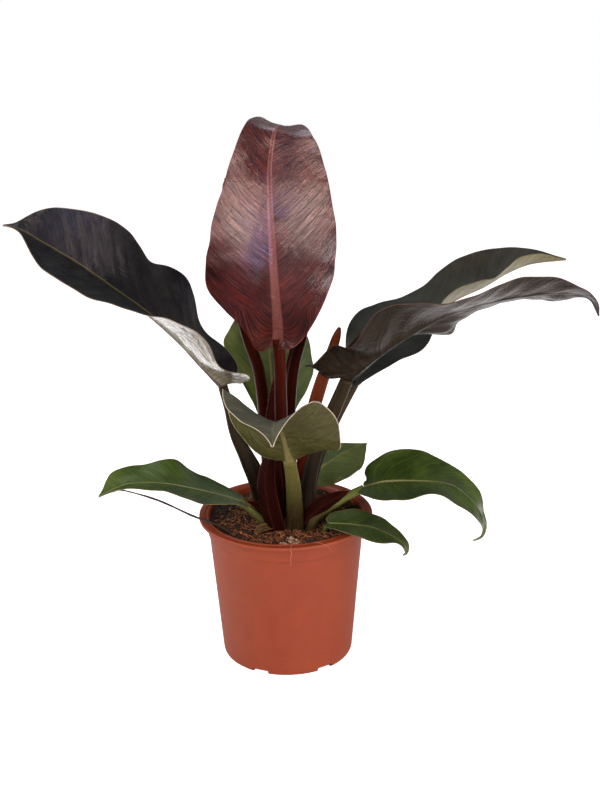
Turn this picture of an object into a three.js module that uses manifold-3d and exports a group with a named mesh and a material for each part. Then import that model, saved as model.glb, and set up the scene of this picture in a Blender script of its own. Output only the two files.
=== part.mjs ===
// Potted imperial red philodendron in a plastic nursery pot.
// Millimetres, +Z up, origin at the centre of the pot's flat bottom, viewer towards -Y.
import * as THREE from 'three';
import { mergeVertices } from 'three/addons/utils/BufferGeometryUtils.js';
import Module from 'manifold-3d';

const wasm = await Module();
wasm.setup();

// Pot
const potHeight = 147;
const potLipRadius = 85;
const potLipDepth = 3.6;
const potNeckRadius = 77;
const potShoulderZ = 128;
const potShoulderRadius = 75.8;
const potFootRadius = 64.5;
const potWall = 1.8;
const potSides = 48;
const drainCount = 6;
const drainWidth = 17;
const drainHeight = 4.6;
const drainReach = 9;
const drainTurn = -25;

// Potting soil and crown
const gap = 0.35;
const soilZ = 139.5;
const soilRelief = 1.8;
const stemSpot = [5, -10];
const stemRadius = 6.2;
const rootDepthZ = 118;

// Blades
const bladeThickness = 1.0;
const edgeThickness = 0.8;
const midribDrop = 2.6;
const seamColumns = [0, 0.07, 0.3, 0.56, 0.8, 1];
const smallColumns = [0, 0.1, 0.38, 0.7, 1];

// Outline of a blade: share of its length from the foot, share of its half width,
// and how far the margin reaches back past the foot as a share of the length.
const bladeOutline = [
  [0, 0.16, 0.045],
  [0.02, 0.36, 0.055],
  [0.045, 0.5, 0.043],
  [0.08, 0.65, 0.022],
  [0.14, 0.83, 0.006],
  [0.2, 0.94, 0],
  [0.29, 1, 0],
  [0.4, 0.975, 0],
  [0.52, 0.89, 0],
  [0.64, 0.76, 0],
  [0.75, 0.6, 0],
  [0.84, 0.43, 0],
  [0.91, 0.26, 0],
  [0.96, 0.11, 0],
  [1, 0.015, 0],
];

// Outline of a sheath that wraps young petioles: broad foot, pointed tip
const sheathOutline = [
  [0, 0.8, 0],
  [0.3, 1, 0],
  [0.6, 0.86, 0],
  [0.85, 0.5, 0],
  [1, 0.06, 0],
];

// Each leaf has a midrib line through spots in mm, the way its upper face looks at the foot,
// its half width, and for each half, at shares of its length, how many degrees it folds up
// from the flat and how wide it is against the usual outline.
// lobes says how much further than usual the two lobes at the foot reach back.
// Rows of pulls: share of the length and place across (-1 left margin, 1 right margin) of the spot that
// moves, how far the pull reaches along and across, and the shift in mm along x, y and z.
// Each petiole runs from the soil to the blade's foot, with radii at its start and end.
const leaves = {
  top: {
    midrib: [[-4, -12, 328], [-6, -9, 366], [-8, -4, 412], [-9.5, 2, 458], [-9, 11, 490], [-4, 26, 518],
      [2, 50, 518], [8, 80, 496]],
    face: [0, -1, 0.12],
    half: 62,
    cup: 24,
    right: [[0, 42, 0.75], [0.12, 33, 0.95], [0.3, 24, 1], [0.5, 6, 1], [0.7, -3, 1.06], [0.82, 5, 1],
      [0.92, 8, 1], [1, 0, 1]],
    left: [[0, -30, 0.97], [0.12, -23, 1.04], [0.3, 11, 1.01], [0.5, 25, 0.9], [0.7, 12, 0.76],
      [0.82, 1, 0.73], [0.92, 6, 0.82], [1, 0, 1]],
    pulls: [[0, -1, 0.03, 0.45, -7, 0, -1], [0.14, -1, 0.06, 0.4, -1, 0, -5],
      [0.2, -1, 0.05, 0.5, -3, 0, 0], [0, 1, 0.03, 0.6, -6, 0, 3], [0.08, 1, 0.05, 0.5, 2, 0, 0],
      [0.88, 1, 0.06, 0.7, -4, 0, 6], [0.35, 1, 0.25, 0.5, 1, 0, 0], [0.45, -1, 0.07, 0.5, -2, 0, 0],
      [0.62, -1, 0.07, 0.5, 1.5, 0, 0]],
    rows: 18,
    colour: '#75504a',
    petiole: [[-3, 5, 160], [-3, 0, 210], [-3, -6, 262], [-3, -9, 296]],
    base: [-3, 5],
    radii: [6.4, 5.6],
    petioleColour: '#3a1712',
  },
  left: {
    midrib: [[-57, -20, 289], [-75, -24, 310], [-93, -28, 332], [-122, -34, 362], [-155, -42, 391],
      [-184, -48, 415], [-214, -52, 436], [-232, -52, 447], [-246, -50, 450]],
    face: [0.3, -0.85, 0.4],
    half: 68,
    cup: 14,
    right: [[0, -17, 1.1], [0.12, -48, 1], [0.3, -28, 0.93], [0.5, -28, 0.92], [0.7, 2, 1.08],
      [0.88, 9, 1.18], [1, -10, 1]],
    left: [[0, 110, 1.4], [0.12, 84, 1.28], [0.3, 87, 1.12], [0.5, 73, 1], [0.7, 50, 0.98],
      [0.88, 40, 1], [1, 50, 0.97]],
    pulls: [[0.96, 1, 0.03, 0.6, 0, 0, -3], [0.88, 1, 0.05, 0.5, -2, 0, 3],
      [0.56, 1, 0.06, 0.5, 1, 0, 3], [0.24, 1, 0.09, 0.5, -1, 0, 1], [0.36, 1, 0.06, 0.5, 0, 0, 2],
      [0.45, 1, 0.04, 0.5, -1, 0, -3], [0.04, 1, 0.05, 0.6, -2, 0, 1], [0.93, -1, 0.06, 0.6, 4, 0, 2],
      [0.02, -1, 0.05, 0.6, 0, 0, 4], [0.5, -1, 0.08, 0.5, 0, 0, -1]],
    rows: 18,
    colour: '#343436',
    petiole: [[-22, -7, 168], [-27, -10, 186], [-36.5, -14, 211], [-47, -17, 237], [-52, -19, 264]],
    base: [-21, -3],
    radii: [9.6, 4.6],
    petioleColour: '#3a3024',
  },
  rear_right: {
    midrib: [[70, 28, 273], [99, 45, 298], [134, 62, 321], [171, 73, 342], [198, 80, 352],
      [221, 85, 364], [244, 88, 372], [280, 90, 375]],
    face: [-0.3, -0.8, 0.5],
    half: 56,
    cup: 25,
    right: [[0, 62, 1], [0.12, 50, 1.07], [0.3, 54, 1.03], [0.5, 75, 0.9], [0.7, 69, 0.95],
      [0.88, 88, 1], [1, 90, 1]],
    left: [[0, -60, 0.83], [0.12, -20, 1], [0.3, -27, 1.12], [0.5, -36, 1.08], [0.7, -5, 1],
      [0.88, -15, 0.96], [1, -10, 1]],
    pulls: [[0.25, 1, 0.07, 0.5, 4, 0, -4], [0.15, -1, 0.07, 0.6, -1, 0, 2],
      [0.26, -1, 0.06, 0.5, -1, 0, 3], [0.37, -1, 0.06, 0.5, 0, 0, -3],
      [0.57, -1, 0.07, 0.5, -1, 0, 3]],
    rows: 18,
    colour: '#3b3d37',
    petiole: [[26, 1, 180], [37, 6, 213], [50, 14, 238]],
    base: [22, 0],
    radii: [6, 4.4],
    petioleColour: '#3b3220',
  },
  front_right: {
    midrib: [[60, -18, 293], [87, -26, 317], [111, -34, 336], [148, -44, 360], [189, -50, 374],
      [232, -52, 381], [258, -50, 381], [272, -48, 379], [283, -46, 370], [289, -44, 357]],
    face: [0, 0.8, 0.5],
    half: 60,
    cup: 22,
    lobes: [1, 2.3],
    right: [[0, 23, 1], [0.12, -20, 0.85], [0.3, -16, 1], [0.5, -37, 1], [0.7, -24, 1], [0.88, -40, 1],
      [1, -55, 1]],
    left: [[0, 100, 1], [0.12, 84, 0.9], [0.25, 48, 0.9], [0.36, 22, 0.95], [0.45, 26, 0.95],
      [0.55, 38, 1], [0.66, 42, 1], [0.75, 33, 1], [0.85, 22, 1], [1, 40, 1]],
    pulls: [[0, 1, 0.03, 0.6, -6, 0, 20], [0.1, 1, 0.03, 0.5, -2, 0, 8],
      [0, 0.6, 0.04, 0.25, 0, -1, -7], [0.06, 1, 0.03, 0.4, 0, 0, 5], [0.42, -1, 0.085, 0.5, -7, -9, 8],
      [0.29, -1, 0.09, 0.6, 0, -11, 3], [0.5, -1, 0.05, 0.4, -1, 0, 2], [0.6, -1, 0.05, 0.5, 0, 0, -1],
      [0.8, -1, 0.08, 0.5, 0, 0, 3], [0.93, -1, 0.04, 0.6, 3, 0, 4], [0.77, 1, 0.07, 0.6, 1, 0, 4],
      [0.9, 1, 0.04, 0.5, -2, 0, 1]],
    rows: 18,
    colour: '#574b3d',
    petiole: [[22, -14, 176], [29, -15, 213], [46, -16, 255]],
    base: [20, -14],
    radii: [7.2, 6.2],
    petioleColour: '#241c14',
  },
  front: {
    midrib: [[5, -58, 228], [2, -80, 255], [-2, -108, 277], [-6, -138, 293], [-8, -165, 300],
      [-8, -185, 300], [-8, -202, 295]],
    face: [0, 0.8, 0.5],
    half: 60,
    cup: 20,
    right: [[0, 10, 1.1], [0.12, 18, 0.97], [0.3, 31, 1], [0.5, 34, 1.07], [0.7, 23, 1.04],
      [0.88, 25, 1.08], [1, 60, 1]],
    left: [[0, 24, 0.95], [0.12, -9, 0.93], [0.3, -13, 0.88], [0.5, 3, 0.93], [0.7, 24, 0.93],
      [0.88, 36, 0.98], [1, 55, 1]],
    pulls: [[0.42, 0.8, 0.14, 0.35, 0, 0, 6]],
    rows: 18,
    colour: '#585442',
    petiole: [[9, -30, 160], [8, -38, 190]],
    base: [9, -28],
    radii: [8.4, 6],
    petioleColour: '#504925',
  },
  rear_green: {
    midrib: [[-9, 52, 215], [-11, 60, 242], [-13, 70, 270], [-15, 84, 297], [-16, 100, 319],
      [-16, 120, 331]],
    face: [0, -1, 0.2],
    half: 44,
    cup: 14,
    right: [[0, 60, 0.83], [0.3, 36, 1], [0.6, 20, 1.18], [1, 30, 1.3]],
    left: [[0, 66, 0.83], [0.3, 54, 0.96], [0.6, 29, 1.35], [1, 35, 1.4]],
    pulls: [[0.62, -1, 0.05, 0.5, -2, 0, 0], [0.38, 1, 0.07, 0.5, 3, 0, 0]],
    rows: 14,
    colour: '#4d582d',
    petiole: [[-10, 30, 170]],
    base: [-10, 25],
    radii: [3.6, 2.6],
    petioleColour: '#4a4a28',
  },
  low_left: {
    midrib: [[-43, -22, 169], [-57, -26, 176], [-83, -32, 186], [-118, -40, 196], [-148, -46, 198],
      [-163, -48, 193], [-176, -50, 187]],
    face: [0.1, -0.3, 0.95],
    half: 40,
    cup: 25,
    right: [[0, -15, 1], [0.12, -18, 1], [0.3, -14, 1.02], [0.5, 2, 0.94], [0.7, 0, 0.96],
      [0.88, 17, 1], [1, 18, 1]],
    left: [[0, 20, 0.88], [0.12, 27, 0.93], [0.3, 19, 0.98], [0.5, 25, 1], [0.7, 28, 1], [0.88, 32, 1],
      [1, 28, 1]],
    pulls: [[0.88, 1, 0.06, 0.6, -1, 0, 3], [0.45, 1, 0.08, 0.5, 0, 0, 2],
      [0.26, 1, 0.05, 0.5, 0, 0, -2]],
    rows: 16,
    colour: '#3a4a22',
    petiole: [[-20, -22, 145], [-31, -20, 155]],
    base: [-15, -23],
    radii: [4.6, 3],
    petioleColour: '#3d3b20',
  },
  low_right: {
    midrib: [[76, -8, 176], [92, -12, 182], [108, -16, 185], [130, -24, 188], [148, -30, 189],
      [162, -36, 187], [176, -42, 177], [185, -46, 166], [191, -50, 151], [188, -52, 141],
      [179, -53, 137]],
    face: [0.1, -0.3, 0.95],
    half: 42,
    cup: 25,
    right: [[0, 26, 0.94], [0.12, 10, 1], [0.3, 15, 1.04], [0.5, 24, 1.03], [0.7, 24, 1], [0.88, 28, 1],
      [1, 4, 1]],
    left: [[0, -16, 1.08], [0.12, 18, 0.94], [0.3, 9, 0.93], [0.5, -15, 1], [0.7, -22, 1],
      [0.88, -34, 1], [1, -20, 1]],
    pulls: [[0, -1, 0.03, 0.6, 8, 0, 6], [0.06, -1, 0.035, 0.5, -2, 0, 3], [0.2, 1, 0.06, 0.5, 0, 0, 2],
      [0, 1, 0.03, 0.5, 5, 0, 0], [0.57, -1, 0.07, 0.6, -2, 0, -2], [0.82, -1, 0.05, 0.6, -2, 0, 0]],
    rows: 18,
    colour: '#37461f',
    petiole: [[26, -26, 147], [34, -22, 154], [48, -17, 162], [61, -12, 168]],
    base: [24, -27],
    radii: [5, 3.8],
    petioleColour: '#45431f',
  },
  small_right: {
    midrib: [[42, -40, 152], [57, -46, 154], [71, -52, 155], [83, -57, 155], [94, -62, 152],
      [105, -66, 147], [113, -69, 140], [114, -70, 134], [111, -71, 131]],
    face: [0.1, -0.3, 0.95],
    half: 24,
    cup: 26,
    right: [[0, 21, 1], [0.12, 24, 1], [0.3, 18, 1], [0.5, 5, 1], [0.7, 11, 1], [0.88, 20, 1],
      [1, 12, 1]],
    left: [[0, 0, 1], [0.12, 4, 1], [0.3, -3, 1], [0.5, -13, 1], [0.7, -15, 1], [0.88, -10, 1],
      [1, 0, 1]],
    pulls: [[0.05, -1, 0.06, 0.5, -2, 0, 2], [0.8, 1, 0.08, 0.5, 1, 0, 2]],
    rows: 14,
    colour: '#33401f',
    petiole: [],
    base: [37, -32],
    radii: [3, 2.2],
    petioleColour: '#3d3b20',
  },
  rear_low: {
    midrib: [[27, 24, 173], [36, 33, 180], [45, 43, 183], [55, 54, 186], [70, 67, 188], [83, 78, 188]],
    face: [-0.2, -0.6, 0.75],
    half: 32,
    cup: 23,
    right: [[0, -40, 1.08], [0.12, -12, 1], [0.3, 0, 1], [0.5, -3, 1.03], [0.7, -10, 1.02],
      [0.88, -12, 0.95], [1, -6, 1]],
    left: [[0, 60, 1], [0.12, 50, 0.7], [0.3, -6, 0.5], [0.5, -28, 0.8], [0.7, -18, 1], [0.88, -20, 1],
      [1, -30, 1]],
    pulls: [[0.2, 1, 0.3, 0.6, -1, 0, 2.5], [0.7, 1, 0.15, 0.5, 1, 0, 0]],
    rows: 14,
    colour: '#43512e',
    petiole: [[23, 18, 160]],
    base: [22, 14],
    radii: [3, 2.2],
    petioleColour: '#3d3b20',
  },
  back_left: {
    midrib: [[-43, 28, 372], [-42, 44, 398], [-38, 68, 418], [-36, 98, 428], [-35, 130, 427],
      [-34, 160, 416], [-34, 184, 398]],
    face: [0.05, -0.9, 0.42],
    half: 42,
    cup: 20,
    right: [[0, 70, 1], [0.3, 60, 1], [0.6, 46, 1], [1, 40, 1]],
    left: [[0, 70, 1], [0.3, 60, 1], [0.6, 46, 1], [1, 40, 1]],
    rows: 16,
    colour: '#4a3f30',
    petiole: [[-18, 13, 220], [-24, 14, 290], [-32, 15, 316], [-41, 20, 350]],
    base: [-15, 12],
    radii: [6.2, 5],
    petioleColour: '#30160f',
  },
  back_right: {
    midrib: [[26, 28, 385], [25, 46, 410], [23, 72, 426], [22, 102, 432], [22, 134, 429],
      [23, 164, 417], [24, 190, 398]],
    face: [-0.05, -0.9, 0.42],
    half: 42,
    cup: 20,
    right: [[0, 70, 1], [0.3, 60, 1], [0.6, 46, 1], [1, 40, 1]],
    left: [[0, 70, 1], [0.3, 60, 1], [0.6, 46, 1], [1, 40, 1]],
    rows: 16,
    colour: '#4a3f30',
    petiole: [[4, 19, 220], [10, 19, 290], [17, 20, 318], [24, 22, 352]],
    base: [1, 19],
    radii: [5.6, 4.8],
    petioleColour: '#30160f',
  },
};

// Smooth line through hand-set values, with slopes weighted by the spans
function ease(spots, values, x) {
  const last = spots.length - 1;
  const step = (k) => (values[k + 1] - values[k]) / (spots[k + 1] - spots[k]);
  const slope = (k) => {
    if (k === 0) return step(0);
    if (k === last) return step(last - 1);
    const before = spots[k] - spots[k - 1];
    const after = spots[k + 1] - spots[k];
    return (step(k - 1) * after + step(k) * before) / (before + after);
  };
  let k = 0;
  while (k < last - 1 && x > spots[k + 1]) k += 1;
  const span = spots[k + 1] - spots[k];
  const t = Math.min(1, Math.max(0, (x - spots[k]) / span));
  const t2 = t * t;
  const t3 = t2 * t;
  return (2 * t3 - 3 * t2 + 1) * values[k] + (t3 - 2 * t2 + t) * span * slope(k)
    + (3 * t2 - 2 * t3) * values[k + 1] + (t3 - t2) * span * slope(k + 1);
}

function column(table, k, x) {
  return ease(table.map((row) => row[0]), table.map((row) => row[k]), x);
}

// Evenly spaced spots along a curve, each with its direction and the way its upper face looks
function spine(points, face, steps) {
  const curve = new THREE.CatmullRomCurve3(points.map((p) => new THREE.Vector3(...p)), false, 'centripetal');
  curve.arcLengthDivisions = 400;
  const spots = curve.getSpacedPoints(steps);
  const length = curve.getLength();
  const up = new THREE.Vector3(...face);
  return {
    length,
    rings: spots.map((spot, i) => {
      const before = spots[Math.max(0, i - 1)];
      const after = spots[Math.min(steps, i + 1)];
      const along = after.clone().sub(before).normalize();
      up.addScaledVector(along, -up.dot(along)).normalize();
      const side = new THREE.Vector3().crossVectors(along, up);
      return { spot, along, up: up.clone(), side };
    }),
  };
}

function ringAt(line, share) {
  const x = share * (line.rings.length - 1);
  const k = Math.min(line.rings.length - 2, Math.floor(x));
  const a = line.rings[k];
  const b = line.rings[k + 1];
  const spot = a.spot.clone().lerp(b.spot, x - k);
  const along = a.along.clone().lerp(b.along, x - k).normalize();
  const up = a.up.clone().lerp(b.up, x - k);
  up.addScaledVector(along, -up.dot(along)).normalize();
  return { spot, along, up, side: new THREE.Vector3().crossVectors(along, up) };
}

// A spot on a blade's upper face: share along the midrib, and across from -1 to 1
function bladeSpot(leaf, line, outline, share, across) {
  const ring = ringAt(line, share);
  const sign = Math.sign(across);
  const t = Math.abs(across);
  const back = column(outline, 2, share) * line.length * (leaf.lobes ?? [1, 1])[sign < 0 ? 0 : 1];
  const folds = sign < 0 ? leaf.left : leaf.right;
  const half = column(outline, 1, share) * leaf.half * column(folds, 2, share);
  const fold = THREE.MathUtils.degToRad(column(folds, 1, share));
  const cup = THREE.MathUtils.degToRad(leaf.cup);
  const start = fold - cup / 2;
  const turn = fold + cup * (t - 0.5);
  const out = (Math.sin(turn) - Math.sin(start)) / cup;
  const lift = (Math.cos(start) - Math.cos(turn)) / cup;
  return ring.spot.clone()
    .addScaledVector(ring.side, sign * half * out)
    .addScaledVector(ring.up, half * lift)
    .addScaledVector(ring.along, -back * t ** 1.2)
    .add(pulledBy(leaf.pulls ?? [], share, across));
}

// Sum of the local pulls at a spot of the blade. The midrib keeps its place.
function pulledBy(pulls, share, across) {
  const moved = new THREE.Vector3();
  const free = Math.min(1, Math.abs(across) * 4);
  for (const [atShare, atAcross, long, wide, x, y, z] of pulls) {
    const near = Math.exp(-(((share - atShare) / long) ** 2) - ((across - atAcross) / wide) ** 2);
    moved.addScaledVector(new THREE.Vector3(x, y, z), near * free);
  }
  return moved;
}

function closedGeometry(points, faces) {
  const geometry = new THREE.BufferGeometry();
  const numbers = points.flatMap((p) => [p.x, p.y, p.z]);
  geometry.setAttribute('position', new THREE.Float32BufferAttribute(numbers, 3));
  geometry.setIndex(faces.flat());
  return geometry;
}

// Closed thin blade: both faces split into triangles alike, the midrib standing out underneath.
// spare grows it on every side, for cutting its neighbours clear of it.
function bladeGeometry(leaf, outline, columns, spare = 0) {
  const line = spine(leaf.midrib, leaf.face, 120);
  const shares = [];
  for (let i = 0; i <= leaf.rows; i += 1) shares.push((i / leaf.rows) ** 1.2);
  const across = [...columns.slice(1).reverse().map((t) => -t), ...columns];
  const wide = across.length;
  const grid = shares.map((share) => across.map((t) => bladeSpot(leaf, line, outline, share, t)));
  const normals = grid.map((row, i) => row.map((spot, j) => {
    const ahead = grid[Math.min(shares.length - 1, i + 1)][j];
    const behind = grid[Math.max(0, i - 1)][j];
    const right = row[Math.min(wide - 1, j + 1)];
    const left = row[Math.max(0, j - 1)];
    const over = right.clone().sub(left);
    return over.cross(ahead.clone().sub(behind)).normalize();
  }));
  const points = [];
  const faces = [];
  const rib = leaf.rib ?? midribDrop;
  grid.forEach((row, i) => row.forEach((spot, j) => {
    const n = normals[i][j];
    const t = Math.abs(across[j]);
    const body = THREE.MathUtils.lerp(bladeThickness, edgeThickness, t);
    const drop = t === 0 ? rib * (1 - 0.8 * shares[i]) : 0;
    const reach = new THREE.Vector3();
    if (spare > 0 && i === 0) reach.sub(grid[1][j]).add(spot).setLength(spare);
    points.push(spot.clone().addScaledVector(n, spare).add(reach));
    points.push(spot.clone().addScaledVector(n, -body - drop - spare).add(reach));
  }));
  const upper = (i, j) => 2 * (i * wide + j);
  const lower = (i, j) => 2 * (i * wide + j) + 1;
  const last = shares.length - 1;
  for (let i = 0; i < last; i += 1) {
    for (let j = 0; j < wide - 1; j += 1) {
      faces.push([upper(i, j), upper(i, j + 1), upper(i + 1, j + 1)]);
      faces.push([upper(i, j), upper(i + 1, j + 1), upper(i + 1, j)]);
      faces.push([lower(i, j), lower(i + 1, j + 1), lower(i, j + 1)]);
      faces.push([lower(i, j), lower(i + 1, j), lower(i + 1, j + 1)]);
    }
    faces.push([upper(i, 0), upper(i + 1, 0), lower(i + 1, 0)]);
    faces.push([upper(i, 0), lower(i + 1, 0), lower(i, 0)]);
    faces.push([upper(i, wide - 1), lower(i + 1, wide - 1), upper(i + 1, wide - 1)]);
    faces.push([upper(i, wide - 1), lower(i, wide - 1), lower(i + 1, wide - 1)]);
  }
  for (let j = 0; j < wide - 1; j += 1) {
    faces.push([upper(0, j), lower(0, j), lower(0, j + 1)]);
    faces.push([upper(0, j), lower(0, j + 1), upper(0, j + 1)]);
    faces.push([upper(last, j), lower(last, j + 1), lower(last, j)]);
    faces.push([upper(last, j), upper(last, j + 1), lower(last, j + 1)]);
  }
  return closedGeometry(points, faces);
}

// Closed stalk along a curve, with a shallow flat on its upper side
function stalkGeometry(path, face, radii, steps, sides, spare = 0) {
  const line = spine(path, face, steps);
  const points = [];
  const faces = [];
  line.rings.forEach((ring, i) => {
    const share = i / steps;
    const radius = column(radii, 1, share) + spare;
    for (let k = 0; k < sides; k += 1) {
      const turn = (2 * Math.PI * k) / sides;
      const flat = 1 - 0.16 * Math.max(0, Math.sin(turn)) ** 2;
      points.push(ring.spot.clone()
        .addScaledVector(ring.side, radius * Math.cos(turn))
        .addScaledVector(ring.up, radius * flat * Math.sin(turn)));
    }
  });
  const first = points.push(line.rings[0].spot.clone().addScaledVector(line.rings[0].along, -spare)) - 1;
  const tip = line.rings[steps];
  const final = points.push(tip.spot.clone().addScaledVector(tip.along, spare)) - 1;
  for (let k = 0; k < sides; k += 1) {
    const next = (k + 1) % sides;
    for (let i = 0; i < steps; i += 1) {
      const a = i * sides + k;
      const b = i * sides + next;
      faces.push([a, a + sides, b + sides]);
      faces.push([a, b + sides, b]);
    }
    faces.push([first, k, next]);
    faces.push([final, steps * sides + next, steps * sides + k]);
  }
  return closedGeometry(points, faces);
}

function solid(geometry) {
  const bare = (geometry.index ? geometry.toNonIndexed() : geometry).clone();
  bare.deleteAttribute('normal');
  bare.deleteAttribute('uv');
  const merged = mergeVertices(bare, 1e-4);
  return new wasm.Manifold(new wasm.Mesh({
    numProp: 3,
    vertProperties: merged.attributes.position.array,
    triVerts: new Uint32Array(merged.index.array),
  }));
}

function largest(body) {
  return body.decompose().reduce((a, b) => (a.volume() > b.volume() ? a : b));
}

// The same body without the slivers that a cut leaves: edges under the least length shrink to a spot,
// and a needle's long edge turns to cross its neighbour.
const leastEdge = 0.06;
const leastWidth = 0.012;
function withoutSlivers(body) {
  const mesh = body.getMesh();
  const points = [];
  for (let i = 0; i < mesh.numVert; i += 1) {
    points.push(new THREE.Vector3().fromArray(mesh.vertProperties, i * mesh.numProp));
  }
  let faces = [];
  for (let i = 0; i < mesh.triVerts.length; i += 3) faces.push([...mesh.triVerts.slice(i, i + 3)]);
  const crossOf = ([a, b, c]) => points[b].clone().sub(points[a]).cross(points[c].clone().sub(points[a]));
  const edgesOf = ([a, b, c]) => [[a, b, c], [b, c, a], [c, a, b]];
  const lengthOf = ([a, b]) => points[a].distanceTo(points[b]);
  const nextTo = (spot) => new Set(faces.filter((f) => f.includes(spot)).flat());
  const shrink = ([kept, gone]) => {
    const shared = [...nextTo(kept)].filter((v) => nextTo(gone).has(v));
    if (shared.length !== 4) return false;
    const moved = faces.filter((f) => f.includes(gone) && !f.includes(kept));
    const turned = moved.map((f) => f.map((v) => (v === gone ? kept : v)));
    const folds = turned.some((f, i) => {
      const before = crossOf(moved[i]);
      const after = crossOf(f);
      return before.length() > leastWidth && before.dot(after) < 0.5 * before.length() * after.length();
    });
    if (folds) return false;
    faces = faces.filter((f) => !(f.includes(kept) && f.includes(gone)))
      .map((f) => f.map((v) => (v === gone ? kept : v)));
    return true;
  };
  const flip = (face) => {
    const [a, b, c] = edgesOf(face).reduce((one, other) => (lengthOf(one) > lengthOf(other) ? one : other));
    const beyond = faces.find((f) => f !== face && f.includes(a) && f.includes(b));
    const d = beyond.find((v) => v !== a && v !== b);
    if (faces.some((f) => f.includes(c) && f.includes(d))) return false;
    faces = faces.filter((f) => f !== face && f !== beyond);
    faces.push([a, d, c], [d, b, c]);
    return true;
  };
  for (let turn = 0; turn < 400; turn += 1) {
    const short = faces.flatMap(edgesOf).filter((edge) => lengthOf(edge) < leastEdge)
      .sort((one, other) => lengthOf(one) - lengthOf(other));
    let changed = short.some(shrink);
    if (!changed) {
      const widthOf = (f) => crossOf(f).length() / Math.max(...edgesOf(f).map(lengthOf));
      const needles = faces.filter((f) => widthOf(f) < leastWidth);
      changed = needles.some(flip);
    }
    if (!changed) break;
  }
  return solid(closedGeometry(points, faces));
}

const plant = new THREE.Group();

function addNode(name, body, colour, roughness) {
  const mesh = body.getMesh();
  const geometry = new THREE.BufferGeometry();
  geometry.setAttribute('position', new THREE.BufferAttribute(new Float32Array(mesh.vertProperties), 3));
  geometry.setIndex(new THREE.BufferAttribute(new Uint32Array(mesh.triVerts), 1));
  geometry.computeVertexNormals();
  const material = new THREE.MeshStandardMaterial({ color: colour, roughness, metalness: 0 });
  const node = new THREE.Mesh(geometry, material);
  node.name = name;
  plant.add(node);
}

// Pot: turned shell with a lip, a shoulder, rounded foot and six drain slots at the foot
const potProfile = [
  [0, 0],
  [potFootRadius - 3.5, 0],
  [potFootRadius - 1, 1],
  [potFootRadius, 3.5],
  [potShoulderRadius - 0.5, potShoulderZ - 0.8],
  [potShoulderRadius + 0.6, potShoulderZ],
  [potNeckRadius, potHeight - potLipDepth - 1],
  [potLipRadius - 1, potHeight - potLipDepth],
  [potLipRadius, potHeight - potLipDepth + 0.5],
  [potLipRadius, potHeight - 0.5],
  [potLipRadius - 0.6, potHeight],
  [potLipRadius - 5.4, potHeight],
  [potLipRadius - 6, potHeight - 1],
  [potLipRadius - 7, potHeight - 1],
  [potLipRadius - 7.5, potHeight],
  [potLipRadius - 8.6, potHeight],
  [potNeckRadius - potWall, potHeight - 2],
  [potShoulderRadius + 0.6 - potWall, potShoulderZ],
  [potShoulderRadius - 0.5 - potWall, potShoulderZ - 1.5],
  [potFootRadius + 0.2 - potWall, 4],
  [potFootRadius - 4, 2.2],
  [0, 2.2],
].map(([r, z]) => new THREE.Vector2(r, z));

function turned(profile, sides) {
  return solid(new THREE.LatheGeometry(profile, sides).rotateX(Math.PI / 2));
}

let pot = turned(potProfile, potSides);
for (let k = 0; k < drainCount; k += 1) {
  const slot = new THREE.BoxGeometry(drainWidth, drainReach * 2, drainHeight * 2);
  slot.translate(0, -potFootRadius - 1, 0);
  slot.rotateZ(THREE.MathUtils.degToRad(drainTurn + (360 / drainCount) * k));
  pot = pot.subtract(solid(slot));
}

// Soil: fills the pot to a little under the rim, its top in low lumps
const soilRings = 6;
const soilSides = 32;
const soilTopRadius = potShoulderRadius + 0.9 - potWall - gap;
const soilFootRadius = potFootRadius - potWall - gap - 0.4;
const soilPoints = [];
const soilFaces = [];
const soilHeight = (x, y) => soilZ + soilRelief * (Math.sin(x * 0.13 + 1.1) * Math.cos(y * 0.16 - 0.4)
  + 0.6 * Math.sin(x * 0.31 + y * 0.23));
soilPoints.push(new THREE.Vector3(0, 0, soilHeight(0, 0)));
for (let i = 1; i <= soilRings; i += 1) {
  for (let k = 0; k < soilSides; k += 1) {
    const radius = (soilTopRadius * i) / soilRings;
    const turn = (2 * Math.PI * k) / soilSides;
    const x = radius * Math.cos(turn);
    const y = radius * Math.sin(turn);
    soilPoints.push(new THREE.Vector3(x, y, soilHeight(x, y) + (i === soilRings ? 1.2 : 0)));
  }
}
const soilWall = [
  [potShoulderRadius - 1.2 - potWall - gap, potShoulderZ - 4],
  [soilFootRadius, 7],
  [soilFootRadius - 4, 2.6],
];
soilWall.forEach(([radius, z]) => {
  for (let k = 0; k < soilSides; k += 1) {
    const turn = (2 * Math.PI * k) / soilSides;
    soilPoints.push(new THREE.Vector3(radius * Math.cos(turn), radius * Math.sin(turn), z));
  }
});
const soilFoot = soilPoints.push(new THREE.Vector3(0, 0, 2.6)) - 1;
const soilSpot = (ring, k) => 1 + (ring - 1) * soilSides + (k % soilSides);
const soilLast = soilRings + soilWall.length;
for (let k = 0; k < soilSides; k += 1) {
  soilFaces.push([0, soilSpot(1, k), soilSpot(1, k + 1)]);
  for (let ring = 1; ring < soilLast; ring += 1) {
    soilFaces.push([soilSpot(ring, k), soilSpot(ring + 1, k), soilSpot(ring + 1, k + 1)]);
    soilFaces.push([soilSpot(ring, k), soilSpot(ring + 1, k + 1), soilSpot(ring, k + 1)]);
  }
  soilFaces.push([soilFoot, soilSpot(soilLast, k + 1), soilSpot(soilLast, k)]);
}
let soil = solid(closedGeometry(soilPoints, soilFaces));

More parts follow.
